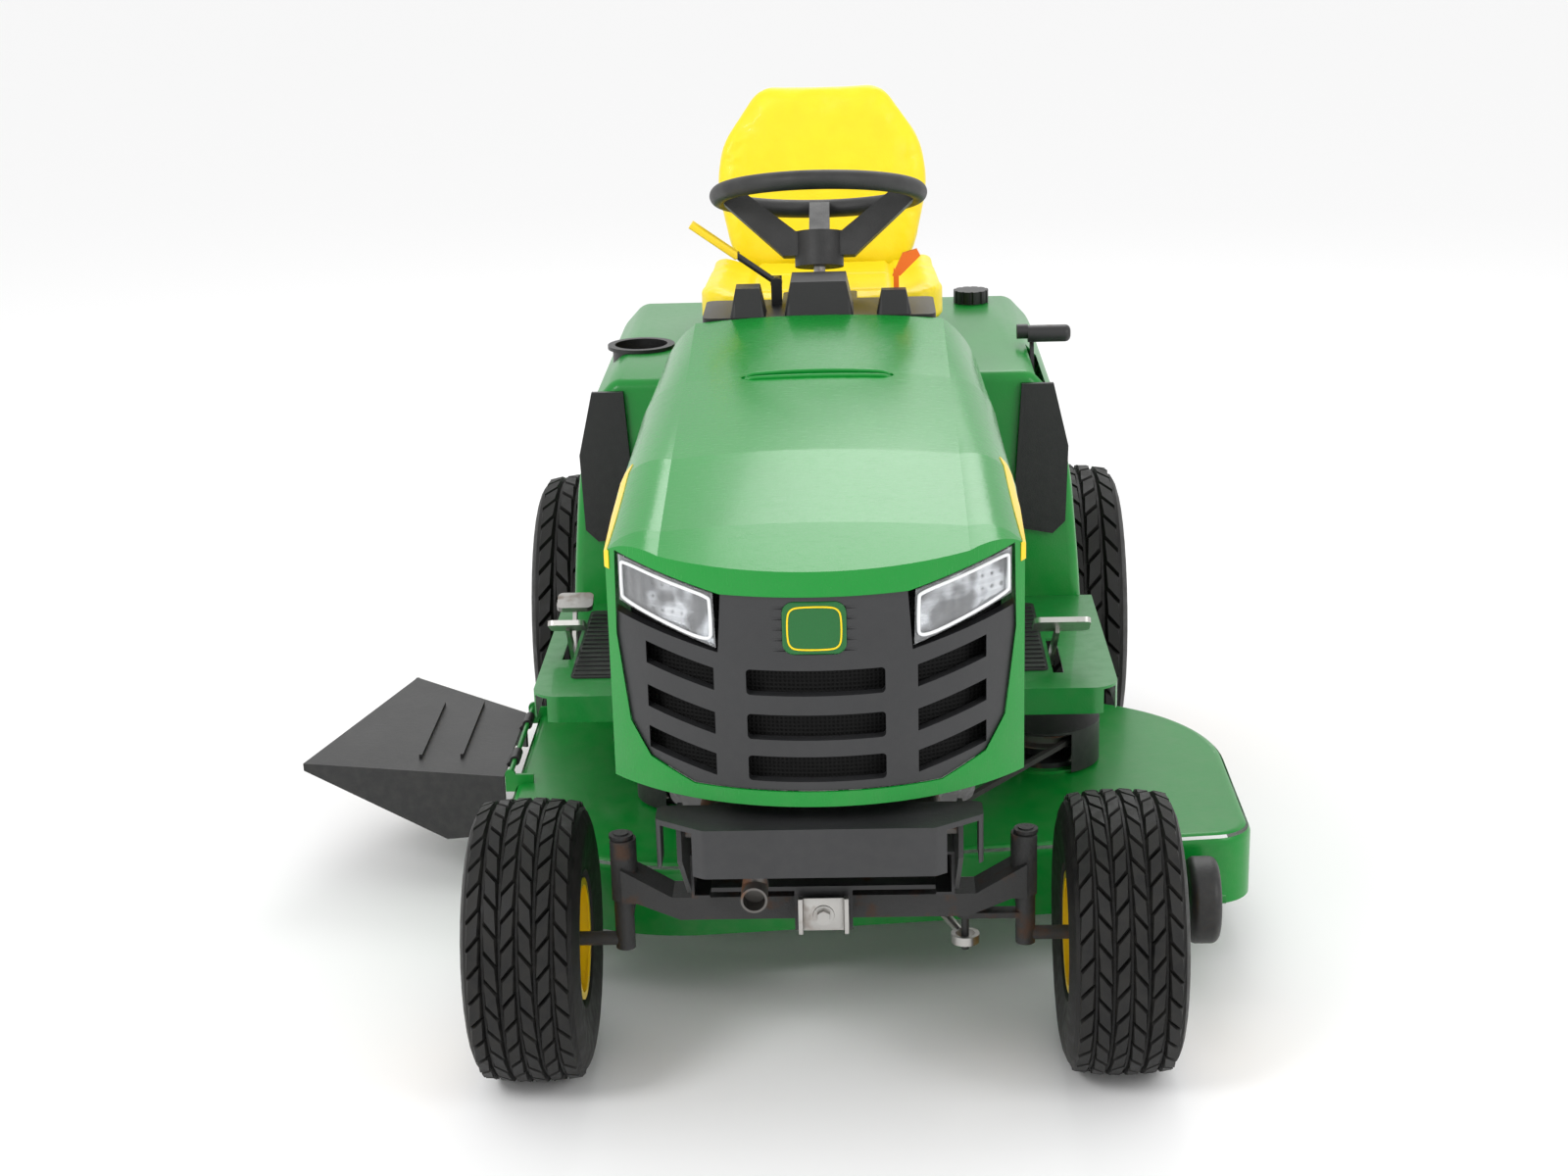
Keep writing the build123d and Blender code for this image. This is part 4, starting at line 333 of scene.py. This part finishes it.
# Black mouldings: the grille, the bumper, the dash, the trims by the seat, the belt covers, the
# gauge wheels and the chute are all one grained polypropylene; the grille and the bumper, at the
# lit front, get a lighter copy of it: painted light.
def grained(name, colour, grain=900, depth=0.00015, gloss=0.42, dusty=0.3):
    """Moulded black plastic with a leathery grain, chalking and settled dust."""
    finish = Finish(name, gloss)
    blotch = finish.noise(9, 5)
    shade = finish.mix(blotch.above(0.5, 0.4), tuple(c * 0.9 for c in colour),
                       tuple(c * 1.15 for c in colour))
    low_down = 1 - finish.axis("Z").above(0.45, 0.9)
    dust = finish.noise(70, 6).above(0.55, 0.3) * low_down * dusty * 0.2
    finish.set("Base Color", finish.mix(dust, shade, (0.2, 0.19, 0.16)))
    finish.set("Roughness", blotch * 0.12 + (gloss - 0.06) + dust * 0.2)
    pits = finish.relief(finish.cells(grain), depth)
    finish.set("Normal", finish.relief(finish.noise(140, 3), depth * 1.5, pits))
    return finish.material


# The grille and the bumper get a lighter copy of the black: painted light on the lit front.
lit_black = grained("lit_black_plastic", (0.022, 0.0225, 0.024), dusty=0.2)
black_plastic = grained("black_plastic", (0.008, 0.008, 0.0085))
paint(lit_black, "grille", "front_bumper")
paint(black_plastic, "dash_panel", "trim_panels", "discharge_chute", "gauge_wheel_left",
      "gauge_wheel_right", "blower_shroud", "belt_covers", "fuel_cap", "battery")
badge_green = enamel("badge_green", (0.01, 0.12, 0.025), 0.0, gloss=0.18)
paint(badge_green, "badge_plate")

# A thin raised yellow border round the blank badge, pressed into the same moulding.
badge_low, badge_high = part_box("badge_plate")
middle = (badge_low + badge_high) / 2
inset = 0.006
reach_x = (badge_high.x - badge_low.x) / 2 - inset
reach_z = (badge_high.z - badge_low.z) / 2 - inset
corner = 0.012
ring = [
    (middle.x + sx * (reach_x - corner) + corner * cos(turn), badge_low.y - 0.0002,
     middle.z + sz * (reach_z - corner) + corner * sin(turn))
    for sx, sz, first in ((1, 1, 0), (-1, 1, 90), (-1, -1, 180), (1, -1, 270))
    for turn in (radians(first), radians(first + 45), radians(first + 90))
]
along(ring, "badge_border", 0.0011, "hood", yellow_plastic, closed=True)


# Painted shade behind the grille: a near-black sheet round the nose, patterned as woven wire.
nose_shade = Finish("nose_shade_weave", 0.7, specular=0.2)
across, upward = (nose_shade.node("ShaderNodeTexWave", {"bands_direction": way},
                              {"Vector": nose_shade.place, "Scale": 60.0}) for way in ("X", "Z"))
wires = across.math("MAXIMUM", across, upward)
# Near-black wire pattern: painted shade seen through the grille slots.
nose_shade.set("Base Color", nose_shade.mix(wires, (0.002, 0.002, 0.002), (0.012, 0.012, 0.012)))
nose_shade.set("Normal", nose_shade.relief(wires, 0.0008))
grille_low, grille_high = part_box("grille")
sheet = bmesh.new()
nose_radius, nose_middle = 0.298, rear_axle_y - 1.5 + 0.328
start = [sheet.verts.new((centre_x, nose_middle - nose_radius, z))
         for z in (grille_low.z + 0.006, grille_high.z + 0.018)]
edge = sheet.edges.new(start)
half_turn = 0.86
bmesh.ops.rotate(sheet, verts=start, cent=(centre_x, nose_middle, 0),
                 matrix=Matrix.Rotation(-half_turn, 3, "Z"))
bmesh.ops.spin(sheet, geom=start + [edge], cent=(centre_x, nose_middle, 0), axis=(0, 0, 1),
               dvec=(0, 0, 0), angle=2 * half_turn, steps=40)
bmesh.ops.solidify(sheet, geom=sheet.faces[:], thickness=0.0015)
settle(sheet, "grille_shade_sheet", "hood", nose_shade.material)


# Headlamps: a clear moulded lens over a bright reflector, with a white retaining rim.
lens = Finish("lamp_lens", 0.06, specular=0.5)
lens.set("Transmission Weight", 0.9)
lens.set("IOR", 1.45)
flutes = lens.node("ShaderNodeTexWave", {"wave_type": "BANDS", "bands_direction": "X"},
                   {"Vector": lens.place, "Scale": 26.0, "Distortion": 0.0})
lens.set("Base Color", lens.mix(lens.noise(30, 3).above(0.5, 0.5), (0.86, 0.88, 0.9),
                                (0.96, 0.97, 0.98)))
lens.set("Roughness", lens.noise(45, 4) * 0.12 + 0.02)
lens.set("Normal", lens.relief(flutes, 0.0006))
reflector = Finish("lamp_reflector", 0.16, metallic=1.0)
# Sharp near-black and bright patches in the reflector's colour: painted reflection.
reflector.set("Base Color", reflector.mix(reflector.noise(16, 2).above(0.52, 0.1),
                                          (0.06, 0.062, 0.066),
                                          (0.8, 0.81, 0.83)))
reflector.set("Roughness", reflector.noise(60, 3) * 0.2 + 0.08)
facets = reflector.node("ShaderNodeTexWave", {"wave_type": "BANDS", "bands_direction": "Z"},
                        {"Vector": reflector.place, "Scale": 20.0})
reflector.set("Normal", reflector.relief(facets, 0.0015))
paint(lens.material, "headlight_lenses")
paint(reflector.material, "headlight_housings")
rim_finish = enamel("lamp_rim", (0.8, 0.81, 0.82), 0.0, gloss=0.2)
for word, side in (("left", 1), ("right", -1)):
    rim_line = []
    for x, z in ((0.124, 0.680), (0.182, 0.698), (0.233, 0.715), (0.234, 0.722), (0.234, 0.758),
                 (0.233, 0.763), (0.180, 0.750), (0.125, 0.737), (0.124, 0.731), (0.123, 0.700)):
        y = rear_axle_y - 1.5 + 0.328 - (0.3275 ** 2 - x ** 2) ** 0.5
        rim_line.append((centre_x + side * x, y, z))
    along(rim_line, "lamp_rim_" + word, 0.0022, "hood", rim_finish, closed=True)


# Tyres: turf tyres, moulded in one piece, with rows of V chevrons across a nearly flat crown.
# Soil stays between the blocks and greys the walls.
tyre_rubber = Finish("tyre_rubber", 0.78, specular=0.3)
soil = tyre_rubber.noise(55, 6).above(0.5, 0.3)
worn = tyre_rubber.mix(tyre_rubber.noise(12, 4).above(0.5, 0.5), (0.004, 0.004, 0.004),
                       (0.009, 0.009, 0.009))
tyre_rubber.set("Base Color", tyre_rubber.mix(soil * 0.07, worn, (0.12, 0.11, 0.09)))
tyre_rubber.set("Roughness", soil * 0.15 + 0.48)
tyre_rubber.set("Normal", tyre_rubber.relief(tyre_rubber.noise(700, 3), 0.0003))


def tyre(name, body, width, rim_radius, rows, pitches, lift):
    """A hollow tyre spun round its axle, with its tread faces raised as separate blocks."""
    low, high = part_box(name)
    centre, radius, half = (low + high) / 2, (high.z - low.z) / 2, width / 2
    base = radius - lift - 0.0004
    shape = bmesh.new()
    tread_half = half * 0.86
    lines = []
    for row in range(rows):
        for edge in (-0.43, 0.43):
            lines.append(((row + 0.5 + edge) / rows * 2 - 1) * tread_half)
    crown = [(x, base - 0.035 * radius * (x / tread_half) ** 2) for x in lines]
    wall = [
        (half * 0.62, rim_radius), (half * 0.66, rim_radius + 0.006),
        (half * 0.86, rim_radius + 0.014), (half * 0.9, rim_radius + 0.017),
        (half * 0.9, rim_radius + 0.021), (half * 0.975, (rim_radius + base) / 2),
        (half * 0.985, (rim_radius + base) / 2 + 0.012), (half * 0.995, base - 0.034),
        (half * 0.985, base - 0.03), (half * 0.955, base - 0.02), (half * 0.9, base - 0.01),
    ]
    section = wall + crown[::-1] + [(-x, r) for x, r in wall[::-1]]
    verts = [shape.verts.new((x, 0, r)) for x, r in section]
    edges = [shape.edges.new(pair) for pair in zip(verts, verts[1:] + verts[:1])]
    bmesh.ops.spin(shape, geom=verts + edges, cent=(0, 0, 0), axis=(1, 0, 0), dvec=(0, 0, 0),
                   angle=2 * pi, steps=pitches, use_merge=True)
    bmesh.ops.remove_doubles(shape, verts=shape.verts[:], dist=0.00002)
    pitch = 2 * pi / pitches
    for number, x in enumerate(lines):
        row, far = divmod(number, 2)
        lean = 0.55 if row % 2 else -0.55
        turn = pitch * ((row % 2) * 0.5 + (lean if far else -lean) * 0.5)
        on_line = [vert for vert in shape.verts
                   if abs(vert.co.x - x) < 1e-5 and Vector(vert.co.yz).length > base * 0.9]
        bmesh.ops.rotate(shape, verts=on_line, cent=(0, 0, 0), matrix=Matrix.Rotation(turn, 3, "X"))
    bmesh.ops.recalc_face_normals(shape, faces=shape.faces[:])
    spans = [(lines[2 * row], lines[2 * row + 1]) for row in range(rows)]
    blocks = [
        face for face in shape.faces
        if Vector(face.calc_center_median().yz).length > base * 0.9
        and any(a < face.calc_center_median().x < b for a, b in spans)
    ]
    bmesh.ops.inset_individual(shape, faces=blocks, thickness=lift * 0.5, depth=lift)
    bmesh.ops.translate(shape, vec=centre, verts=shape.verts[:])
    piece = settle(shape, name + "_tread", body, tyre_rubber.material, 28)
    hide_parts(name)


for word, letter in (("left", "l"), ("right", "r")):
    tyre("front_tyre_" + word, "front_wheel_" + letter, 0.155, 0.0762, 6, 32, 0.007)
    tyre("rear_tyre_" + word, "rear_wheel_" + letter, 0.205, 0.1016, 6, 34, 0.009)
yellow_enamel = enamel("yellow_enamel", yellow, 0.2, gloss=0.3)
paint(yellow_enamel, "front_rim_left", "front_rim_right", "rear_rim_left", "rear_rim_right")

# Valve stems: a short rubber stub through each rim with its cap.
for word, letter in (("left", "l"), ("right", "r")):
    for end, reach in (("front", 0.052), ("rear", 0.072)):
        low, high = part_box(f"{end}_rim_{word}")
        middle = (low + high) / 2
        side = 1 if word == "left" else -1
        stub = bmesh.new()
        for radius, start, length in ((0.0052, 0.0, 0.018), (0.0062, 0.016, 0.01)):
            added = bmesh.ops.create_cone(stub, cap_ends=True, segments=16, radius1=radius,
                                          radius2=radius * 0.9, depth=length)["verts"]
            bmesh.ops.rotate(stub, verts=added, cent=(0, 0, 0),
                             matrix=Matrix.Rotation(pi / 2, 3, "Y"))
            bmesh.ops.translate(stub, verts=added, vec=(
                middle.x + side * (0.012 + start), middle.y, middle.z + reach))
        settle(stub, f"valve_{end}_{word}", f"{end}_wheel_{letter}", black_plastic)


# Pressed steel in green enamel: the deck, baked on over its welded skirt, and the fender pan, with
# the footrests bolted to the frame below it. The tread mats are black rubber set in the footrests.
green_enamel = enamel("green_enamel", (0.002, 0.23, 0.026), 0.3, peel=0.0002, gloss=0.3)
paint(green_enamel, "deck_shell")
mat_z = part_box("footrest_left")[1].z - 0.0026
footrest_finish = Finish("footrest_enamel", 0.35, coat=0.2)
on_mat = footrest_finish.axis("Z").above(mat_z, 0.0004)
scuff = footrest_finish.noise(45, 6).above(0.55, 0.3)
plate = footrest_finish.mix(scuff * 0.08, (0.004, 0.215, 0.03), (0.1, 0.14, 0.06))
rubber_mat = footrest_finish.mix(scuff * 0.1, (0.014, 0.014, 0.014), (0.1, 0.1, 0.09))
footrest_finish.set("Base Color", footrest_finish.mix(on_mat, plate, rubber_mat))
footrest_finish.set("Roughness", on_mat * 0.4 + scuff * 0.1 + 0.34)
footrest_finish.set("Normal", footrest_finish.relief(footrest_finish.noise(420, 2), 0.0002))
paint(footrest_finish.material, "footrest_left", "footrest_right")


# Frame and running gear: black sprayed steel, black castings, and zinc-plated rods, pulleys and
# pedals that have dulled, with rust starting in their pores.
def steel(name, colour, gloss, rust, metallic=1.0, pitted=0.0):
    """Plated, cast or sprayed metal with stains and rust blooms."""
    finish = Finish(name, gloss, metallic)
    bloom = finish.noise(26, 8).above(0.66 - rust * 0.12, 0.12)
    stain = finish.noise(7, 4)
    shade = finish.mix(stain.above(0.5, 0.5), tuple(c * 0.7 for c in colour),
                       tuple(c * 1.2 for c in colour))
    finish.set("Base Color", finish.mix(bloom * rust, shade, (0.19, 0.075, 0.025)))
    finish.set("Roughness", bloom * 0.3 + stain * 0.2 + (gloss - 0.1))
    finish.set("Metallic", (1 - bloom * rust) * metallic)
    fine = finish.relief(finish.noise(900, 3), 0.0001 + pitted * 0.0004)
    finish.set("Normal", finish.relief(finish.noise(160, 5), 0.0001 + pitted * 0.0008, fine))
    return finish.material


black_steel = steel("black_steel", (0.018, 0.018, 0.019), 0.42, 0.25, 0.0)
cast_black = steel("cast_black", (0.03, 0.03, 0.03), 0.6, 0.3, 0.0, pitted=1.0)
zinc = steel("zinc", (0.5, 0.49, 0.47), 0.38, 0.4)
alloy = steel("alloy", (0.42, 0.42, 0.42), 0.5, 0.1, pitted=1.0)
dull_steel = steel("dull_steel", (0.2, 0.19, 0.18), 0.55, 0.8)
paint(black_steel, "frame_rails", "axle_carrier", "hitch_plate", "seat_slider", "seat_pan",
      "steering_column", "spindle_housings", "lift_lever")
paint(cast_black, "front_axle", "knuckle_left", "knuckle_right", "transaxle")
paint(zinc, "tie_rod", "drag_link", "steering_sector", "steering_shaft", "crank_pulley",
      "blade_drive_pulley", "transaxle_pulley", "brake_pedal", "drive_pedals")
paint(alloy, "engine_block")
paint(dull_steel, "muffler", "blade_left", "blade_right")
lever_finish = Finish("lever_handle", 0.35, coat=0.1)
on_rod = lever_finish.axis("X").above(-0.019, 0.0004)
lever_finish.set("Base Color", lever_finish.mix(on_rod, lever_finish.mix(
    lever_finish.noise(30, 3), (0.9, 0.6, 0.006), (0.96, 0.68, 0.01)), (0.012, 0.012, 0.012)))
lever_finish.set("Normal", lever_finish.relief(lever_finish.noise(600, 2), 0.0001))
paint(lever_finish.material, "blade_lever")
orange_plastic = enamel("orange_plastic", (0.84, 0.16, 0.012), 0.0, gloss=0.35)
paint(orange_plastic, "throttle_lever")
milky = grained("milky_plastic", (0.5, 0.49, 0.44), grain=500, gloss=0.4, dusty=0.2)
paint(milky, "fuel_tank")
belt = Finish("belt_rubber", 0.7)
threads = belt.node("ShaderNodeTexWave", {"bands_direction": "Z"},
                    {"Vector": belt.place, "Scale": 240.0})
belt.set("Base Color", belt.mix(belt.noise(40, 4) * 0.5, (0.018, 0.018, 0.018), (0.07, 0.06, 0.05)))
belt.set("Roughness", belt.noise(60, 3) * 0.2 + 0.6)
belt.set("Normal", belt.relief(threads, 0.0003))
paint(belt.material, "drive_belt", "deck_belt")
grip = Finish("wheel_grip", 0.5)
grip.set("Base Color", grip.mix(grip.noise(20, 4).above(0.5, 0.5), (0.012, 0.012, 0.012),
                                (0.03, 0.03, 0.03)))
grip.set("Roughness", grip.noise(35, 4) * 0.25 + 0.38)
grip.set("Normal", grip.relief(grip.cells(650), 0.00025))
paint(grip.material, "steering_wheel")


# Bolts: zinc-plated hexagon heads with washers where plates meet.
def bolt(shape, place, along_axis, size=0.0065):
    """A washer and a hexagon head standing off a face."""
    turn = Vector((0, 0, 1)).rotation_difference(Vector(along_axis)).to_matrix()
    washer = 0.0016
    for segments, radius, start, length in (
        (20, size * 1.5, 0.0, washer), (6, size, washer, size * 0.75),
    ):
        added = bmesh.ops.create_cone(shape, cap_ends=True, segments=segments, radius1=radius,
                                      radius2=radius * 0.96, depth=length)["verts"]
        bmesh.ops.translate(shape, verts=added, vec=(0, 0, start + length / 2))
        bmesh.ops.rotate(shape, verts=added, cent=(0, 0, 0), matrix=turn)
        bmesh.ops.translate(shape, verts=added, vec=place)


deck_bolts = bmesh.new()
for x, y in ((0.337 + centre_x, rear_axle_y - 0.6135), (centre_x - 0.203, rear_axle_y - 0.7435)):
    for turn in range(4):
        angle = radians(45 + 90 * turn)
        bolt(deck_bolts, (x + 0.062 * cos(angle), y + 0.062 * sin(angle), 0.212), (0, 0, 1))
settle(deck_bolts, "deck_bolts", "deck", zinc)
rest_bolts = bmesh.new()
pan_low, pan_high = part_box("fender_pan")
for side in (-1, 1):
    for y in (-0.24, -0.04):
        bolt(rest_bolts, (centre_x + side * 0.19, y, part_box("footrest_left")[1].z + 0.0002),
             (0, 0, 1))
settle(rest_bolts, "footrest_bolts", "chassis", zinc)

# Ribs of the rubber mats, running across under the foot.
for word, side in (("left", 1), ("right", -1)):
    ribs = bmesh.new()
    rest_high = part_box("footrest_" + word)[1].z
    near, far = centre_x + side * 0.268, centre_x + side * (0.327 if side > 0 else 0.374)
    for rib in range(15):
        y = -0.146 + 0.021 * rib
        block(ribs, (min(near, far), y, rest_high - 0.0006),
              (max(near, far), y + 0.009, rest_high + 0.0022),
              0.0008, segments=1)
    settle(ribs, "mat_ribs_" + word, "chassis", black_plastic)

# Bright bracket on the front of the axle, with the bolt that the axle rocks on.
axle_plate = bmesh.new()
front_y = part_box("axle_carrier")[0].y
block(axle_plate, (centre_x - 0.027, front_y - 0.0035, 0.228),
      (centre_x + 0.027, front_y - 0.0003, 0.274), 0.001)
for side in (-1, 1):
    block(axle_plate, (centre_x + side * 0.030 - 0.003, front_y - 0.012, 0.226),
          (centre_x + side * 0.030 + 0.003, front_y - 0.0003, 0.276), 0.001)
bolt(axle_plate, (centre_x, front_y - 0.0035, 0.250), (0, -1, 0), 0.0095)
settle(axle_plate, "axle_plate", "chassis", zinc)


# Fender pan: one steel pressing drawn over both rear wheels, its corners rolled to a wide radius
# and its wheel arches trimmed. It is bolted to the rails, with holes for the cup, lever and filler.
def cutter(shape, name):
    """A hidden shape that a pressing is trimmed with."""
    bmesh.ops.recalc_face_normals(shape, faces=shape.faces[:])
    mesh = bpy.data.meshes.new(name)
    shape.to_mesh(mesh)
    shape.free()
    return link(mesh, name)


def bake_down(piece):
    """Applies a piece's modifiers to its mesh."""
    bpy.context.view_layer.update()
    depth = bpy.context.evaluated_depsgraph_get()
    mesh = bpy.data.meshes.new_from_object(piece.evaluated_get(depth))
    piece.modifiers.clear()
    piece.data = mesh


pan = bmesh.new()
outline = ((0.412, 0.380), (0.407, 0.456), (0.395, 0.590), (0.370, 0.725), (0.330, 0.768))
rear_wall = [pan.verts.new((centre_x + x, pan_high.y, z)) for x, z in outline]
rear_wall += [pan.verts.new((centre_x - x, pan_high.y, z)) for x, z in outline[::-1]]
cap = pan.faces.new(rear_wall)
drawn = bmesh.ops.extrude_face_region(pan, geom=[cap])["geom"]
bmesh.ops.translate(pan, vec=(0, pan_low.y - pan_high.y, 0),
                    verts=[item for item in drawn if isinstance(item, bmesh.types.BMVert)])
rolled = [edge for edge in pan.edges if min(vert.co.z for vert in edge.verts) > 0.385
          or abs(edge.verts[0].co.z - edge.verts[1].co.z) > 0.02]
bmesh.ops.bevel(pan, geom=rolled, offset=0.016, affect="EDGES", segments=5, profile=0.5,
                material=-1, clamp_overlap=True)
under = [face for face in pan.faces if face.calc_center_median().z < 0.381]
bmesh.ops.delete(pan, geom=under, context="FACES_ONLY")
bmesh.ops.remove_doubles(pan, verts=pan.verts[:], dist=0.00002)
bmesh.ops.recalc_face_normals(pan, faces=pan.faces[:])
if sum(face.normal.z * face.calc_area() for face in pan.faces) < 0:
    bmesh.ops.reverse_faces(pan, faces=pan.faces[:])
bmesh.ops.solidify(pan, geom=pan.faces[:], thickness=0.003)
pressing = cutter(pan, "fender_pressing")
trims = []
for radius, height, place, lie in (
    (0.300, 1.0, (centre_x, rear_axle_y, 0.254), "Y"),
    (0.0483, 0.2, (centre_x - 0.304, rear_axle_y - 0.15, 0.768), "Z"),
    (0.0243, 0.2, (centre_x + 0.262, rear_axle_y + 0.19, 0.768), "Z"),
):
    hole = bmesh.new()
    bmesh.ops.create_cone(hole, cap_ends=True, segments=96, radius1=radius, radius2=radius,
                          depth=height)
    if lie == "Y":
        bmesh.ops.rotate(hole, verts=hole.verts[:], cent=(0, 0, 0),
                         matrix=Matrix.Rotation(pi / 2, 3, "Y"))
    bmesh.ops.translate(hole, vec=place, verts=hole.verts[:])
    trims.append(cutter(hole, "trim_round"))
for low, high in (
    ((centre_x + 0.336, rear_axle_y - 0.391, 0.70), (centre_x + 0.354, rear_axle_y - 0.158, 0.80)),
    ((centre_x - 0.146, pan_low.y - 0.02, 0.30), (centre_x + 0.146, pan_low.y + 0.02, 0.600)),
    ((centre_x - 0.146, pan_high.y - 0.02, 0.30), (centre_x + 0.146, pan_high.y + 0.02, 0.600)),
):
    hole = bmesh.new()
    block(hole, low, high, 0.0008)
    trims.append(cutter(hole, "trim_square"))
for number, trim in enumerate(trims):
    cut = pressing.modifiers.new(f"trim_{number}", "BOOLEAN")
    cut.operation, cut.solver, cut.object = "DIFFERENCE", "EXACT", trim
bake_down(pressing)
for trim in trims:
    bpy.data.objects.remove(trim)
pressing.data.shade_smooth()
pressing.data.set_sharp_from_angle(angle=radians(35))
pressing.data.materials.clear()
pressing.data.materials.append(green_enamel)
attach(pressing, "chassis")
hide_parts("fender_pan")


# Seat: one-piece high-back seat, foam moulded under grained yellow vinyl and sewn to a black pan.
# The back and the cushion both have raised wings, a sewn middle panel and piping at the edge.
vinyl = Finish("yellow_vinyl", 0.42, coat=0.08, specular=0.45)
creases = vinyl.noise(26, 5)
# Lighter on the ridges of the crease relief and darker in its hollows: painted shade in the
# creases.
hide = vinyl.mix(creases.above(0.5, 0.6), (0.94, 0.70, 0.004), (1.0, 0.77, 0.006))
grime = vinyl.noise(11, 6).above(0.6, 0.3) * 0.04
vinyl.set("Base Color", vinyl.mix(grime, hide, (0.3, 0.2, 0.06)))
vinyl.set("Roughness", creases * 0.2 + grime * 0.3 + 0.32)
pores = vinyl.relief(vinyl.cells(620), 0.00022)
vinyl.set("Normal", vinyl.relief(creases, 0.0012, pores))


def inflate(shape, name, body, cap, pressure=4.0):
    """Remeshes a slab evenly, swells it as cloth over foam, and keeps each point within the cap."""
    bmesh.ops.recalc_face_normals(shape, faces=shape.faces[:])
    mesh = bpy.data.meshes.new(name)
    shape.to_mesh(mesh)
    shape.free()
    pad = link(mesh, name)
    remesh = pad.modifiers.new("even", "REMESH")
    remesh.mode = "VOXEL"
    remesh.voxel_size = 0.006
    bake_down(pad)
    start = [v.co.copy() for v in pad.data.vertices]
    cloth = pad.modifiers.new("stuffing", "CLOTH")
    cloth.settings.use_pressure = True
    cloth.settings.uniform_pressure_force = pressure
    cloth.settings.effector_weights.gravity = 0.0
    cloth.collision_settings.use_collision = False
    cloth.point_cache.frame_start, cloth.point_cache.frame_end = 1, 20
    for step in range(1, 21):
        bpy.context.scene.frame_set(step)
    bake_down(pad)
    bpy.context.scene.frame_set(1)
    for vert, old in zip(pad.data.vertices, start):
        moved = vert.co - old
        if moved.length > cap:
            vert.co = old + moved * (cap / moved.length)
    smooth = pad.modifiers.new("smooth", "SUBSURF")
    smooth.levels = smooth.render_levels = 1
    bake_down(pad)
    pad.data.shade_smooth()
    pad.data.materials.clear()
    pad.data.materials.append(vinyl.material)
    return pad


def slab(outline, thickness, rounding):
    """A rounded slab from a symmetric outline in its own x and y, with its face towards +z."""
    shape = bmesh.new()
    verts = [shape.verts.new((x, y, 0)) for x, y in outline]
    face = shape.faces.new(verts)
    raised = bmesh.ops.extrude_face_region(shape, geom=[face])["geom"]
    bmesh.ops.translate(shape, vec=(0, 0, thickness),
                        verts=[item for item in raised if isinstance(item, bmesh.types.BMVert)])
    upright = [e for e in shape.edges if abs(e.verts[0].co.z - e.verts[1].co.z) > thickness / 2]
    bmesh.ops.bevel(shape, geom=upright, offset=0.05, affect="EDGES", segments=5, profile=0.5,
                    material=-1, clamp_overlap=True)
    rims = [e for e in shape.edges if abs(e.verts[0].co.z - e.verts[1].co.z) < 1e-6
            and len(e.link_faces) == 2 and any(len(f.verts) > 6 for f in e.link_faces)]
    bmesh.ops.bevel(shape, geom=rims, offset=rounding, affect="EDGES", segments=4, profile=0.5,
                    material=-1, clamp_overlap=True)
    return shape


def bump_near(value, centre, width):
    """1 at the centre, falling off smoothly to 0 over the width."""
    away = min(1.0, abs(value - centre) / width)
    return (1 - away * away) ** 2


def shape_pad(pad, panel, wing_from, wing, seam_ends, cross_seams):
    """Wings at both sides, a hollow middle, and sewn seams round the middle panel."""
    for vert in pad.data.vertices:
        x, y, z = vert.co
        top = max(0.0, min(1.0, (z - 0.012) / 0.02))
        rise = max(0.0, min(1.0, (abs(x) - wing_from) / 0.05))
        within = 1.0 if seam_ends[0] < y < seam_ends[1] else 0.0
        dip = 0.006 * bump_near(abs(x), panel, 0.009) * within
        for at in cross_seams:
            dip = max(dip, 0.006 * bump_near(y, at, 0.009) * (1.0 if abs(x) < panel else 0.0))
        vert.co.z = z + top * (wing * rise * rise * (3 - 2 * rise) - dip)


def place_pad(pad, body, node, matrix):
    pad.data.transform(matrix)
    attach(pad, body)
    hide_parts(node)


cushion_low, cushion_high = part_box("seat_cushion")
cushion_middle = (cushion_low + cushion_high) / 2
swell = 0.008
half_x = (cushion_high.x - cushion_low.x) / 2 - swell
half_y = (cushion_high.y - cushion_low.y) / 2 - swell
cushion = inflate(
    slab([(-half_x, -half_y * 0.8), (-half_x * 0.86, -half_y), (half_x * 0.86, -half_y),
          (half_x, -half_y * 0.8), (half_x * 0.94, half_y), (-half_x * 0.94, half_y)],
         0.042, 0.016),
    "seat_cushion_pad", "seat", 0.007)
shape_pad(cushion, 0.115, 0.13, 0.012, (-0.13, 0.17), (-0.13, 0.02))
place_pad(cushion, "seat", "seat_cushion",
          Matrix.Translation((cushion_middle.x, cushion_middle.y, cushion_low.z + 0.003)))

back_low, back_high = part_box("seat_back")
lean = radians(9)
back_height = (back_high.z - back_low.z) / cos(lean)
outline = (
    (0.150, 0.010), (0.178, 0.055), (0.203, 0.175), (0.191, 0.25), (0.122, 0.350),
)
outline = [(x - 0.009, y * (back_height - 0.012) / 0.357 + 0.004) for x, y in outline]
back = inflate(slab([(-x, y) for x, y in outline[::-1]] + list(outline), 0.04, 0.016),
               "seat_back_pad",
               "seat", 0.008)
shape_pad(back, 0.105, 0.12, 0.010, (0.0, 0.0), ())
upright = Matrix.Rotation(pi / 2 - lean, 4, "X")
place_pad(back, "seat", "seat_back",
          Matrix.Translation((cushion_middle.x, 0.813, back_low.z + 0.001)) @ upright)
